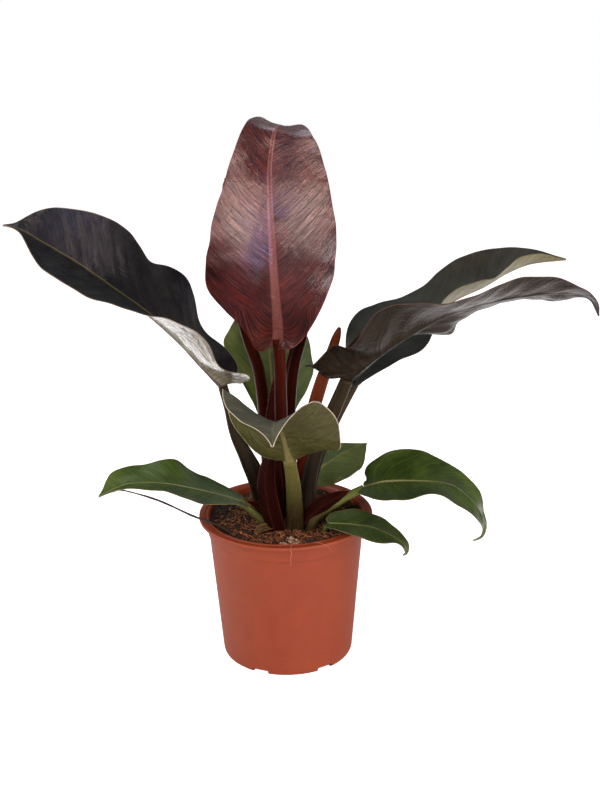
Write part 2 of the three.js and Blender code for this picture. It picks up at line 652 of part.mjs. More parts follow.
// Short stem in the middle of the crown
const [stemX, stemY] = stemSpot;
const stemPath = [[stemX, stemY, 96], [stemX, stemY, 120], [stemX, stemY, 148]];
const stemRadii = [[0, stemRadius * 0.5], [0.4, stemRadius], [1, stemRadius * 0.72]];
addNode('stem', solid(stalkGeometry(stemPath, [0, -1, 0], stemRadii, 6, 12)), '#4a3a26', 0.8);
soil = soil.subtract(solid(stalkGeometry(stemPath, [0, -1, 0], stemRadii, 6, 12, gap)));

// Leaves: each blade and each petiole is its own node
Object.entries(leaves).forEach(([name, leaf]) => {
  const columns = leaf.rows > 16 ? seamColumns : smallColumns;
  addNode(`leaf_${name}_blade`, solid(bladeGeometry(leaf, bladeOutline, columns)), leaf.colour, 0.35);
  const [x, y] = leaf.base;
  const foot = new THREE.Vector3(...leaf.midrib[0]);
  const toward = new THREE.Vector3(...leaf.midrib[1]).sub(foot).normalize();
  const drop = new THREE.Vector3(...leaf.face);
  drop.addScaledVector(toward, -drop.dot(toward)).normalize().multiplyScalar(-leaf.radii[1] * 0.6);
  const join = foot.clone().addScaledVector(toward, -0.6).add(drop);
  const path = [[x, y, rootDepthZ], [x, y, 127], [x, y, 138], ...leaf.petiole, join.toArray()];
  const radii = [[0, leaf.radii[0]], [0.35, leaf.radii[0]], [0.75, leaf.radii[1] * 1.1], [1, leaf.radii[1]]];
  const steps = Math.max(8, Math.round(path.length * 1.4));
  const petiole = solid(stalkGeometry(path, [0.1, -1, 0.1], radii, steps, 9));
  const clear = solid(bladeGeometry(leaf, bladeOutline, columns, gap));
  const stalk = withoutSlivers(largest(petiole.subtract(clear)));
  addNode(`leaf_${name}_petiole`, stalk, leaf.petioleColour, 0.45);
  soil = soil.subtract(solid(stalkGeometry(path, [0.1, -1, 0.1], radii, steps, 9, gap)));
});

// Rolled young leaf, pointed, beside the centre
const spearPath = [
  [13, 11, rootDepthZ], [13, 11, 127], [13, 11, 138], [18, 11, 200], [30, 10, 256], [43, 10, 298],
  [54, 10, 332],
];
const spearRadii = [[0, 5], [0.5, 6.2], [0.72, 6.4], [0.88, 4.9], [0.98, 3], [1, 1.6]];
const spear = solid(stalkGeometry(spearPath, [0, -1, 0.2], spearRadii, 16, 10));
addNode('rolled_new_leaf', spear, '#5a2a1c', 0.4);
soil = soil.subtract(solid(stalkGeometry(spearPath, [0, -1, 0.2], spearRadii, 16, 10, gap)));

// Dark red sheaths standing beside the young petioles
const sheaths = {
  centre_sheath: {
    midrib: [[-7.5, -17, 122], [-7.5, -17, 140], [-9, -17, 190], [-13, -16, 250], [-9, -16, 291]],
    face: [0, 1, 0],
    half: 7.2,
    cup: 60,
    right: [[0, 30, 1], [1, 30, 1]],
    left: [[0, 30, 1], [1, 30, 1]],
    rows: 12,
    rib: 0.4,
  },
  front_sheath: {
    midrib: [[-9, -33, 122], [-10, -33, 140], [-16, -34, 165], [-18, -36, 200], [-6, -42, 242]],
    face: [0.2, 1, 0],
    half: 11,
    cup: 60,
    right: [[0, 30, 1], [1, 30, 1]],
    left: [[0, 30, 1], [1, 30, 1]],
    rows: 12,
    rib: 0.4,
  },
};
Object.entries(sheaths).forEach(([name, sheath]) => {
  addNode(name, solid(bladeGeometry(sheath, sheathOutline, smallColumns)), '#2c0e0c', 0.4);
  soil = soil.subtract(solid(bladeGeometry(sheath, sheathOutline, smallColumns, gap)));
});

// Wiry aerial root that dips into the soil at the left front
const rootPath = [[-165, -30, 183], [-159, -30, 185], [-145, -30, 182], [-120, -30, 173], [-89, -30, 157],
  [-68, -32, 149], [-58, -36, 145], [-49, -40, 139], [-43, -43, 126]];
const rootRadii = [[0, 0.7], [0.3, 1], [1, 1.1]];
addNode('aerial_root', solid(stalkGeometry(rootPath, [0, 0, 1], rootRadii, 20, 6)), '#17110d', 0.7);
soil = soil.subtract(solid(stalkGeometry(rootPath, [0, 0, 1], rootRadii, 20, 6, gap)));

addNode('pot', pot, '#a3472c', 0.55);
addNode('soil', withoutSlivers(largest(soil)), '#2a1d13', 0.95);

export default plant;
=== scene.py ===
import math
import random
import bmesh
import bpy
import numpy as np
from mathutils import Matrix, Vector, noise


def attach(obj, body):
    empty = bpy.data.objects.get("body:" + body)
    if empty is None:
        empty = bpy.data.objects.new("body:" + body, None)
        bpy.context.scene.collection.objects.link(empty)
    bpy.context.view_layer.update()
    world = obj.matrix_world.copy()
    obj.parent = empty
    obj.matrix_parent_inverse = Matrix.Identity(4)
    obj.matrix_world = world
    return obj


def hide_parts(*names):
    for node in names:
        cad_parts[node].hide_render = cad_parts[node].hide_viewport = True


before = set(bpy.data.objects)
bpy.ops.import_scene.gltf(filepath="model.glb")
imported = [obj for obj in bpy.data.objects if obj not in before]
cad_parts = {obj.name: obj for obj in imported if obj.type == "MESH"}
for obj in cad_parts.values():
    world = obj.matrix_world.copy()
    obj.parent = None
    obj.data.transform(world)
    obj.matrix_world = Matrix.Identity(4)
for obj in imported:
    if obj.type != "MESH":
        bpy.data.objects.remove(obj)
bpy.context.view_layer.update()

mm = 0.001
print("frame loaded:", len(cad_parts), "nodes")


# Colours, nodes and meshes

def toLinear(hexColour):
    parts = [int(hexColour[i:i + 2], 16) / 255 for i in (1, 3, 5)]
    return [p / 12.92 if p <= 0.04045 else ((p + 0.055) / 1.055) ** 2.4 for p in parts] + [1.0]


# inputs by name or place, and a node given as input stands for its first output; on MapRange 1 to 4 are
# from low, from high, to low, to high, and on a colour Mix 6 and 7 are the colours and output 2 the result
def addNode(tree, kind, inputs=None, **settings):
    node = tree.nodes.new("ShaderNode" + kind)
    for name, value in settings.items():
        setattr(node, name, value)
    for socket, value in (inputs or {}).items():
        if isinstance(value, bpy.types.Node):
            value = value.outputs[0]
        if isinstance(value, bpy.types.NodeSocket):
            tree.links.new(value, node.inputs[socket])
        else:
            node.inputs[socket].default_value = value
    return node


def newMaterial(name):
    # an empty material, its tree, and the object's own coordinates in m as the place for patterns
    material = bpy.data.materials.new(name)
    material.use_nodes = True
    tree = material.node_tree
    tree.nodes.clear()
    return material, tree, addNode(tree, "TexCoord").outputs["Object"]


def meshPiece(name, points, faces, materials, replaced=(), skins=None, marks=None, flat=False):
    # points in mm, faces as index rows, skins one material number a face, marks vectors kept on the points
    mesh = bpy.data.meshes.new(name)
    corners = [tuple(int(v) for v in f) for f in faces]
    mesh.from_pydata([tuple(p) for p in np.asarray(points) * mm], [], corners)
    for material in materials:
        mesh.materials.append(material)
    if skins is not None:
        mesh.polygons.foreach_set("material_index", np.asarray(skins, dtype=np.int32))
    for label, values in (marks or {}).items():
        attribute = mesh.attributes.new(label, "FLOAT_VECTOR", "POINT")
        attribute.data.foreach_set("vector", np.asarray(values, dtype=np.float32).ravel())
    mesh.polygons.foreach_set("use_smooth", np.full(len(mesh.polygons), not flat))
    mesh.validate()
    mesh.update()
    piece = bpy.data.objects.new(name, mesh)
    bpy.context.scene.collection.objects.link(piece)
    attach(piece, "root")
    if replaced:
        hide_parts(*replaced)
    return piece


def cubic(t, first, last, leave, arrive):
    # from first to last with set slopes at both ends
    return ((2 * t ** 3 - 3 * t ** 2 + 1) * first + (t ** 3 - 2 * t ** 2 + t) * leave
            + (3 * t ** 2 - 2 * t ** 3) * last + (t ** 3 - t ** 2) * arrive)


def eased(table, column, x):
    # smooth line through given rows, slopes weighted by the spans, as in the part's own source
    table = np.asarray(table, float)
    xs, ys = table[:, 0], table[:, column]
    step = np.diff(ys) / np.diff(xs)
    span = np.diff(xs)
    slope = np.empty_like(ys)
    slope[0], slope[-1] = step[0], step[-1]
    slope[1:-1] = (step[:-1] * span[1:] + step[1:] * span[:-1]) / (span[:-1] + span[1:])
    x = np.asarray(x, float)
    k = np.clip(np.searchsorted(xs, x, side="right") - 1, 0, len(xs) - 2)
    t = np.clip((x - xs[k]) / span[k], 0, 1)
    return cubic(t, ys[k], ys[k + 1], span[k] * slope[k], span[k] * slope[k + 1])


def curveThrough(points, count):
    # centripetal curve through the points, evenly spaced by length
    p = np.asarray(points, float)
    p = np.vstack([2 * p[0] - p[1], p, 2 * p[-1] - p[-2]])
    drawn = []
    for k in range(len(p) - 3):
        p0, p1, p2, p3 = p[k:k + 4]
        spans = (p1 - p0, p2 - p1, p3 - p2)
        d0, d1, d2 = [max(np.linalg.norm(s) ** 0.5, 1e-6) for s in spans]
        t1 = ((p1 - p0) / d0 - (p2 - p0) / (d0 + d1) + (p2 - p1) / d1) * d1
        t2 = ((p2 - p1) / d1 - (p3 - p1) / (d1 + d2) + (p3 - p2) / d2) * d1
        drawn.append(cubic(np.linspace(0, 1, 60)[:, None], p1, p2, t1, t2))
    drawn = np.vstack(drawn)
    reach = np.r_[0, np.cumsum(np.linalg.norm(np.diff(drawn, axis=0), axis=1))]
    even = np.linspace(0, reach[-1], count + 1)
    return np.stack([np.interp(even, reach, drawn[:, i]) for i in range(3)], 1), reach[-1]


def ringsAlong(points, face, count):
    # spots on the curve, their direction, the way their upper side looks, and the side
    spots, length = curveThrough(points, count)
    along = np.gradient(spots, axis=0)
    along /= np.linalg.norm(along, axis=1)[:, None]
    up = np.zeros_like(along)
    look = np.array(face, float)
    for i in range(count + 1):
        look = look - (look @ along[i]) * along[i]
        look /= np.linalg.norm(look)
        up[i] = look
    return spots, along, up, np.cross(along, up), length


def turnedRing(r, z, sides):
    # spots round the upright axis
    turns = [2 * math.pi * k / sides for k in range(sides)]
    return [(r * math.cos(turn), r * math.sin(turn), z) for turn in turns]


# Camera at the photograph's angle

# target and distance in mm, pitch (down) and roll in degrees, lens in mm
view = {"target": (15.5, 0, 263.2), "distance": 1500, "pitch": 19.73, "roll": 0.78, "lens": 70.5}
pitch, roll = math.radians(view["pitch"]), math.radians(view["roll"])
forward = Vector((0, math.cos(pitch), -math.sin(pitch)))
levelUp = Vector((0, math.sin(pitch), math.cos(pitch)))
levelRight = Vector((1, 0, 0))
imageRight = levelRight * math.cos(roll) - levelUp * math.sin(roll)
imageUp = levelRight * math.sin(roll) + levelUp * math.cos(roll)
cameraData = bpy.data.cameras.new("studioCamera")
cameraData.sensor_width = 36
cameraData.lens = view["lens"]
camera = bpy.data.objects.new("studioCamera", cameraData)
bpy.context.scene.collection.objects.link(camera)
place = (Vector(view["target"]) - forward * view["distance"]) * mm
camera.matrix_world = Matrix((
    (imageRight.x, imageUp.x, -forward.x, place.x),
    (imageRight.y, imageUp.y, -forward.y, place.y),
    (imageRight.z, imageUp.z, -forward.z, place.z),
    (0, 0, 0, 1)))
cameraData.clip_end = 50
bpy.context.scene.camera = camera


# Blades

# rows of an outline: share of the length, share of the half width, how far the margin reaches back
bladeOutline = [
    [0, 0.16, 0.045], [0.02, 0.36, 0.055], [0.045, 0.5, 0.043], [0.08, 0.65, 0.022], [0.14, 0.83, 0.006],
    [0.2, 0.94, 0], [0.29, 1, 0], [0.4, 0.975, 0], [0.52, 0.89, 0], [0.64, 0.76, 0], [0.75, 0.6, 0],
    [0.84, 0.43, 0], [0.91, 0.26, 0], [0.96, 0.11, 0], [1, 0.015, 0]]
sheathOutline = [[0, 0.8, 0], [0.3, 1, 0], [0.6, 0.86, 0], [0.85, 0.5, 0], [1, 0.06, 0]]

# rows of a fold: share of the length, degrees that the half folds up, factor on its width
hiddenFold = [[0, 70, 1], [0.3, 60, 1], [0.6, 46, 1], [1, 40, 1]]
sheathFold = [[0, 30, 1], [1, 30, 1]]

# midrib, petiole and base in mm; face: the way the upper side looks; half: half of the widest width in mm;
# cup: degrees that each half curls over its width; right and left: folds; lobes: factors on the foot lobes;
# pulls: share along, place across (-1 left margin, 1 right), reach along and across, mm in x, y and z;
# radii: of the petiole at foot and top; rib: half of the midrib's width, ribFoot: what its foot adds;
# swell: mm that the skin rises or sinks from vein to vein; veinTurn: share where veins reach their slope
leaves = {
    "top": {
        "midrib": [[-4, -12, 328], [-6, -9, 366], [-8, -4, 412], [-9.5, 2, 458],
                   [-9, 11, 490], [-4, 26, 518], [2, 50, 518], [8, 80, 496]],
        "face": [0, -1, 0.12], "half": 62, "cup": 24,
        "right": [[0, 42, 0.75], [0.12, 33, 0.95], [0.3, 24, 1], [0.5, 6, 1],
                  [0.7, -3, 1.06], [0.82, 5, 1], [0.92, 8, 1], [1, 0, 1]],
        "left": [[0, -30, 0.97], [0.12, -23, 1.04], [0.3, 11, 1.01], [0.5, 25, 0.9],
                 [0.7, 12, 0.76], [0.82, 1, 0.73], [0.92, 6, 0.82], [1, 0, 1]],
        "pulls": [[0, -1, 0.03, 0.45, -7, 0, -1], [0.14, -1, 0.06, 0.4, -1, 0, -5],
                  [0.2, -1, 0.05, 0.5, -3, 0, 0], [0, 1, 0.03, 0.6, -6, 0, 3], [0.08, 1, 0.05, 0.5, 2, 0, 0],
                  [0.88, 1, 0.06, 0.7, -4, 0, 6], [0.35, 1, 0.25, 0.5, 1, 0, 0],
                  [0.45, -1, 0.07, 0.5, -2, 0, 0], [0.62, -1, 0.07, 0.5, 1.5, 0, 0]],
        "petiole": [[-3, 5, 160], [-3, 0, 210], [-3, -6, 262], [-3, -9, 296]],
        "base": [-3, 5], "radii": [6.4, 5.6],
        "skin": "bronze", "stalk": "maroon", "rib": 4.4, "ribFoot": 3, "swell": 0.1, "veinTurn": 0.12},
    "left": {
        "midrib": [[-57, -20, 289], [-75, -24, 310], [-93, -28, 332], [-122, -34, 362], [-155, -42, 391],
                   [-184, -48, 415], [-214, -52, 436], [-232, -52, 447], [-246, -50, 450]],
        "face": [0.3, -0.85, 0.4], "half": 68, "cup": 14,
        "right": [[0, -17, 1.1], [0.12, -48, 1], [0.3, -28, 0.93],
                  [0.5, -28, 0.92], [0.7, 2, 1.08], [0.88, 9, 1.18], [1, -10, 1]],
        "left": [[0, 110, 1.4], [0.12, 84, 1.28], [0.3, 87, 1.12],
                 [0.5, 73, 1], [0.7, 50, 0.98], [0.88, 40, 1], [1, 50, 0.97]],
        "pulls": [[0.96, 1, 0.03, 0.6, 0, 0, -3], [0.88, 1, 0.05, 0.5, -2, 0, 3],
                  [0.56, 1, 0.06, 0.5, 1, 0, 3], [0.24, 1, 0.09, 0.5, -1, 0, 1],
                  [0.36, 1, 0.06, 0.5, 0, 0, 2], [0.45, 1, 0.04, 0.5, -1, 0, -3],
                  [0.04, 1, 0.05, 0.6, -2, 0, 1], [0.93, -1, 0.06, 0.6, 4, 0, 2],
                  [0.02, -1, 0.05, 0.6, 0, 0, 4], [0.5, -1, 0.08, 0.5, 0, 0, -1]],
        "petiole": [[-22, -7, 168], [-27, -10, 186], [-36.5, -14, 211], [-47, -17, 237], [-52, -19, 264]],
        "base": [-21, -3], "radii": [9.6, 4.6],
        "skin": "silver", "stalk": "dark", "rib": 2.4, "swell": 0.45},
    "rear_right": {
        "midrib": [[70, 28, 273], [99, 45, 298], [134, 62, 321], [171, 73, 342], [198, 80, 352],
                   [221, 85, 364], [244, 88, 372], [280, 90, 375]],
        "face": [-0.3, -0.8, 0.5], "half": 56, "cup": 25,
        "right": [[0, 62, 1], [0.12, 50, 1.07], [0.3, 54, 1.03],
                  [0.5, 75, 0.9], [0.7, 69, 0.95], [0.88, 88, 1], [1, 90, 1]],
        "left": [[0, -60, 0.83], [0.12, -20, 1], [0.3, -27, 1.12],
                 [0.5, -36, 1.08], [0.7, -5, 1], [0.88, -15, 0.96], [1, -10, 1]],
        "pulls": [[0.25, 1, 0.07, 0.5, 4, 0, -4], [0.15, -1, 0.07, 0.6, -1, 0, 2],
                  [0.26, -1, 0.06, 0.5, -1, 0, 3], [0.37, -1, 0.06, 0.5, 0, 0, -3],
                  [0.57, -1, 0.07, 0.5, -1, 0, 3]],
        "petiole": [[26, 1, 180], [37, 6, 213], [50, 14, 238]],
        "base": [22, 0], "radii": [6, 4.4],
        "skin": "slate", "stalk": "dark", "rib": 2.2},
    "front_right": {
        "midrib": [[60, -18, 293], [87, -26, 317], [111, -34, 336], [148, -44, 360], [189, -50, 374],
                   [232, -52, 381], [258, -50, 381], [272, -48, 379], [283, -46, 370], [289, -44, 357]],
        "face": [0, 0.8, 0.5], "half": 60, "cup": 22, "lobes": [1, 2.3],
        "right": [[0, 23, 1], [0.12, -20, 0.85], [0.3, -16, 1],
                  [0.5, -37, 1], [0.7, -24, 1], [0.88, -40, 1], [1, -55, 1]],
        "left": [[0, 100, 1], [0.12, 84, 0.9], [0.25, 48, 0.9], [0.36, 22, 0.95],
                 [0.45, 26, 0.95], [0.55, 38, 1], [0.66, 42, 1], [0.75, 33, 1], [0.85, 22, 1], [1, 40, 1]],
        "pulls": [[0, 1, 0.03, 0.6, -6, 0, 20], [0.1, 1, 0.03, 0.5, -2, 0, 8],
                  [0, 0.6, 0.04, 0.25, 0, -1, -7], [0.06, 1, 0.03, 0.4, 0, 0, 5],
                  [0.42, -1, 0.085, 0.5, -7, -9, 8], [0.29, -1, 0.09, 0.6, 0, -11, 3],
                  [0.5, -1, 0.05, 0.4, -1, 0, 2], [0.6, -1, 0.05, 0.5, 0, 0, -1],
                  [0.8, -1, 0.08, 0.5, 0, 0, 3], [0.93, -1, 0.04, 0.6, 3, 0, 4],
                  [0.77, 1, 0.07, 0.6, 1, 0, 4], [0.9, 1, 0.04, 0.5, -2, 0, 1]],
        "petiole": [[22, -14, 176], [29, -15, 213], [46, -16, 255]],
        "base": [20, -14], "radii": [7.2, 6.2],
        "skin": "dark", "stalk": "dark", "rib": 2.2, "veinGap": 14, "swell": 0.5},
    "front": {
        "midrib": [[5, -58, 228], [2, -80, 255], [-2, -108, 277], [-6, -138, 293],
                   [-8, -165, 300], [-8, -185, 300], [-8, -202, 295]],
        "face": [0, 0.8, 0.5], "half": 60, "cup": 20,
        "right": [[0, 10, 1.1], [0.12, 18, 0.97], [0.3, 31, 1],
                  [0.5, 34, 1.07], [0.7, 23, 1.04], [0.88, 25, 1.08], [1, 60, 1]],
        "left": [[0, 24, 0.95], [0.12, -9, 0.93], [0.3, -13, 0.88],
                 [0.5, 3, 0.93], [0.7, 24, 0.93], [0.88, 36, 0.98], [1, 55, 1]],
        "pulls": [[0.42, 0.8, 0.14, 0.35, 0, 0, 6]],
        "petiole": [[9, -30, 160], [8, -38, 190]],
        "base": [9, -28], "radii": [8.4, 6],
        "skin": "olive", "stalk": "olive", "rib": 3},
    "rear_green": {
        "midrib": [[-9, 52, 215], [-11, 60, 242], [-13, 70, 270], [-15, 84, 297],
                   [-16, 100, 319], [-16, 120, 331]],
        "face": [0, -1, 0.2], "half": 44, "cup": 14,
        "right": [[0, 60, 0.83], [0.3, 36, 1], [0.6, 20, 1.18], [1, 30, 1.3]],
        "left": [[0, 66, 0.83], [0.3, 54, 0.96], [0.6, 29, 1.35], [1, 35, 1.4]],
        "pulls": [[0.62, -1, 0.05, 0.5, -2, 0, 0], [0.38, 1, 0.07, 0.5, 3, 0, 0]],
        "petiole": [[-10, 30, 170]], "base": [-10, 25], "radii": [3.6, 2.6],
        "skin": "midGreen", "stalk": "green", "rib": 2},
    "low_left": {
        "midrib": [[-43, -22, 169], [-57, -26, 176], [-83, -32, 186], [-118, -40, 196],
                   [-148, -46, 198], [-163, -48, 193], [-176, -50, 187]],
        "face": [0.1, -0.3, 0.95], "half": 40, "cup": 25,
        "right": [[0, -15, 1], [0.12, -18, 1], [0.3, -14, 1.02],
                  [0.5, 2, 0.94], [0.7, 0, 0.96], [0.88, 17, 1], [1, 18, 1]],
        "left": [[0, 20, 0.88], [0.12, 27, 0.93], [0.3, 19, 0.98],
                 [0.5, 25, 1], [0.7, 28, 1], [0.88, 32, 1], [1, 28, 1]],
        "pulls": [[0.88, 1, 0.06, 0.6, -1, 0, 3], [0.45, 1, 0.08, 0.5, 0, 0, 2],
                  [0.26, 1, 0.05, 0.5, 0, 0, -2]],
        "petiole": [[-20, -22, 145], [-31, -20, 155]], "base": [-15, -23], "radii": [4.6, 3],
        "skin": "green", "stalk": "green", "rib": 1.8},
    "low_right": {
        "midrib": [[76, -8, 176], [92, -12, 182], [108, -16, 185], [130, -24, 188],
                   [148, -30, 189], [162, -36, 187], [176, -42, 177], [185, -46, 166],
                   [191, -50, 151], [188, -52, 141], [179, -53, 137]],
        "face": [0.1, -0.3, 0.95], "half": 42, "cup": 25,
        "right": [[0, 26, 0.94], [0.12, 10, 1], [0.3, 15, 1.04],
                  [0.5, 24, 1.03], [0.7, 24, 1], [0.88, 28, 1], [1, 4, 1]],
        "left": [[0, -16, 1.08], [0.12, 18, 0.94], [0.3, 9, 0.93],
                 [0.5, -15, 1], [0.7, -22, 1], [0.88, -34, 1], [1, -20, 1]],
        "pulls": [[0, -1, 0.03, 0.6, 8, 0, 6], [0.06, -1, 0.035, 0.5, -2, 0, 3],
                  [0.2, 1, 0.06, 0.5, 0, 0, 2], [0, 1, 0.03, 0.5, 5, 0, 0],
                  [0.57, -1, 0.07, 0.6, -2, 0, -2], [0.82, -1, 0.05, 0.6, -2, 0, 0]],
        "petiole": [[26, -26, 147], [34, -22, 154], [48, -17, 162], [61, -12, 168]],
        "base": [24, -27], "radii": [5, 3.8],
        "skin": "green", "stalk": "green", "rib": 1.8},
    "small_right": {
        "midrib": [[42, -40, 152], [57, -46, 154], [71, -52, 155], [83, -57, 155], [94, -62, 152],
                   [105, -66, 147], [113, -69, 140], [114, -70, 134], [111, -71, 131]],
        "face": [0.1, -0.3, 0.95], "half": 24, "cup": 26,
        "right": [[0, 21, 1], [0.12, 24, 1], [0.3, 18, 1],
                  [0.5, 5, 1], [0.7, 11, 1], [0.88, 20, 1], [1, 12, 1]],
        "left": [[0, 0, 1], [0.12, 4, 1], [0.3, -3, 1],
                 [0.5, -13, 1], [0.7, -15, 1], [0.88, -10, 1], [1, 0, 1]],
        "pulls": [[0.05, -1, 0.06, 0.5, -2, 0, 2], [0.8, 1, 0.08, 0.5, 1, 0, 2]],
        "petiole": [], "base": [37, -32], "radii": [3, 2.2],
        "skin": "deepGreen", "stalk": "green", "rib": 1.4},
    "rear_low": {
        "midrib": [[27, 24, 173], [36, 33, 180], [45, 43, 183], [55, 54, 186], [70, 67, 188], [83, 78, 188]],
        "face": [-0.2, -0.6, 0.75], "half": 32, "cup": 23,
        "right": [[0, -40, 1.08], [0.12, -12, 1], [0.3, 0, 1],
                  [0.5, -3, 1.03], [0.7, -10, 1.02], [0.88, -12, 0.95], [1, -6, 1]],
        "left": [[0, 60, 1], [0.12, 50, 0.7], [0.3, -6, 0.5],
                 [0.5, -28, 0.8], [0.7, -18, 1], [0.88, -20, 1], [1, -30, 1]],
        "pulls": [[0.2, 1, 0.3, 0.6, -1, 0, 2.5], [0.7, 1, 0.15, 0.5, 1, 0, 0]],
        "petiole": [[23, 18, 160]], "base": [22, 14], "radii": [3, 2.2],
        "skin": "midGreen", "stalk": "green", "rib": 1.6},
    "back_left": {
        "midrib": [[-43, 28, 372], [-42, 44, 398], [-38, 68, 418], [-36, 98, 428], [-35, 130, 427],
                   [-34, 160, 416], [-34, 184, 398]],
        "face": [0.05, -0.9, 0.42], "half": 40, "cup": 20,
        "right": hiddenFold, "left": hiddenFold,
        "petiole": [[-18, 13, 220], [-24, 14, 290], [-32, 15, 316], [-41, 20, 350]],
        "base": [-15, 12], "radii": [6.2, 5],
        "skin": "dark", "stalk": "maroon", "rib": 2},
    "back_right": {
        "midrib": [[26, 28, 385], [25, 46, 410], [23, 72, 426], [22, 102, 432], [22, 134, 429],
                   [23, 164, 417], [24, 190, 398]],
        "face": [-0.05, -0.9, 0.42], "half": 42, "cup": 20,
        "right": hiddenFold, "left": hiddenFold,
        "petiole": [[4, 19, 220], [10, 19, 290], [17, 20, 318], [24, 22, 352]],
        "base": [1, 19], "radii": [5.6, 4.8],
        "skin": "dark", "stalk": "maroon", "rib": 2},
}

# each skin: its slot; colours of upper face, underside, midrib, margin and side veins;
# streak: how far streaks lighten and darken; relief and crease: strengths of the bumps; tint: of the
# highlights; coat and underCoat: wax on the two faces; gloss: how much the tissue shines
skins = {
    "bronze": {"slot": "leaf_bronze", "upper": "#35110a", "light": "#521f15", "under": "#5a2c26",
               "rib": "#7c4a42", "underRib": "#6a3c34", "margin": "#641d16", "vein": "#1d0805",
               "streak": 1.5, "rough": 0.36, "relief": 0.75, "tint": "#f6e8fb",
               "crease": 0.5, "coatRough": 0.17, "coat": 1.0, "underCoat": 0.2},
    "dark": {"slot": "leaf_dark", "upper": "#191a14", "light": "#292a20", "under": "#201c15",
             "rib": "#55532c", "underRib": "#17120d", "margin": "#4a3a30", "vein": "#141310",
             "streak": 0.7, "rough": 0.32, "relief": 0.4, "tint": "#c9bda2",
             "crease": 0.5, "coatRough": 0.25, "coat": 0.1, "underCoat": 0.1, "gloss": 0.3},
    "slate": {"slot": "leaf_dark", "upper": "#20221a", "light": "#303227", "under": "#5c5e42",
              "rib": "#45462c", "underRib": "#8f8a62", "margin": "#4c4a3a", "vein": "#1b1c16",
              "streak": 0.4, "rough": 0.5, "relief": 0.3, "tint": "#ffffff",
              "crease": 0.2, "coatRough": 0.3, "coat": 0.0, "underCoat": 0.2, "gloss": 0.3},
    # silver: its pale margin colour is partly the edge's own colour and partly a painted highlight along the
    # folded rim
    "silver": {"slot": "leaf_dark", "upper": "#121315", "light": "#212320", "under": "#615f4a",
               "rib": "#55532c", "underRib": "#3a3428", "margin": "#7a7264", "vein": "#141310",
               "streak": 0.6, "rough": 0.36, "relief": 0.35, "tint": "#a9b3da",
               "crease": 0.9, "coatRough": 0.14, "coat": 0.1, "underCoat": 1.0, "gloss": 0.28},
    "olive": {"slot": "leaf_olive", "upper": "#3a4236", "light": "#555b4a", "under": "#36380f",
              "rib": "#6f7054", "underRib": "#6a6437", "margin": "#b3ad98", "vein": "#474c3d",
              "streak": 0.6, "rough": 0.36, "relief": 0.5, "tint": "#ffffff",
              "crease": 0.9, "coatRough": 0.3, "coat": 0.1, "underCoat": 0.15},
    "green": {"slot": "leaf_green", "upper": "#1d330a", "light": "#3c541c", "under": "#4d5c33",
              "rib": "#868c5a", "underRib": "#86905e", "margin": "#5d5a35", "vein": "#5a6a3c",
              "streak": 0.4, "rough": 0.4, "relief": 0.4, "tint": "#d4e6b4",
              "crease": 0.2, "coatRough": 0.3, "coat": 0.15, "underCoat": 0.1},
    "midGreen": {"slot": "leaf_green", "upper": "#3c5020", "light": "#5b6c33", "under": "#5a6a36",
                 "rib": "#7d8450", "underRib": "#86905e", "margin": "#5d5a35", "vein": "#6a7a46",
                 "streak": 0.3, "rough": 0.5, "relief": 0.4, "tint": "#ffffff",
                 "crease": 0.2, "coatRough": 0.3, "coat": 0.0, "underCoat": 0.0, "gloss": 0.4},
    "deepGreen": {"slot": "leaf_green", "upper": "#1f310c", "light": "#3c4f1c", "under": "#4d5c33",
                  "rib": "#6d7548", "underRib": "#86905e", "margin": "#5d5a35", "vein": "#48552f",
                  "streak": 0.3, "rough": 0.38, "relief": 0.4, "tint": "#ffffff",
                  "crease": 0.2, "coatRough": 0.3, "coat": 0.08, "underCoat": 0.1, "gloss": 0.35},
}


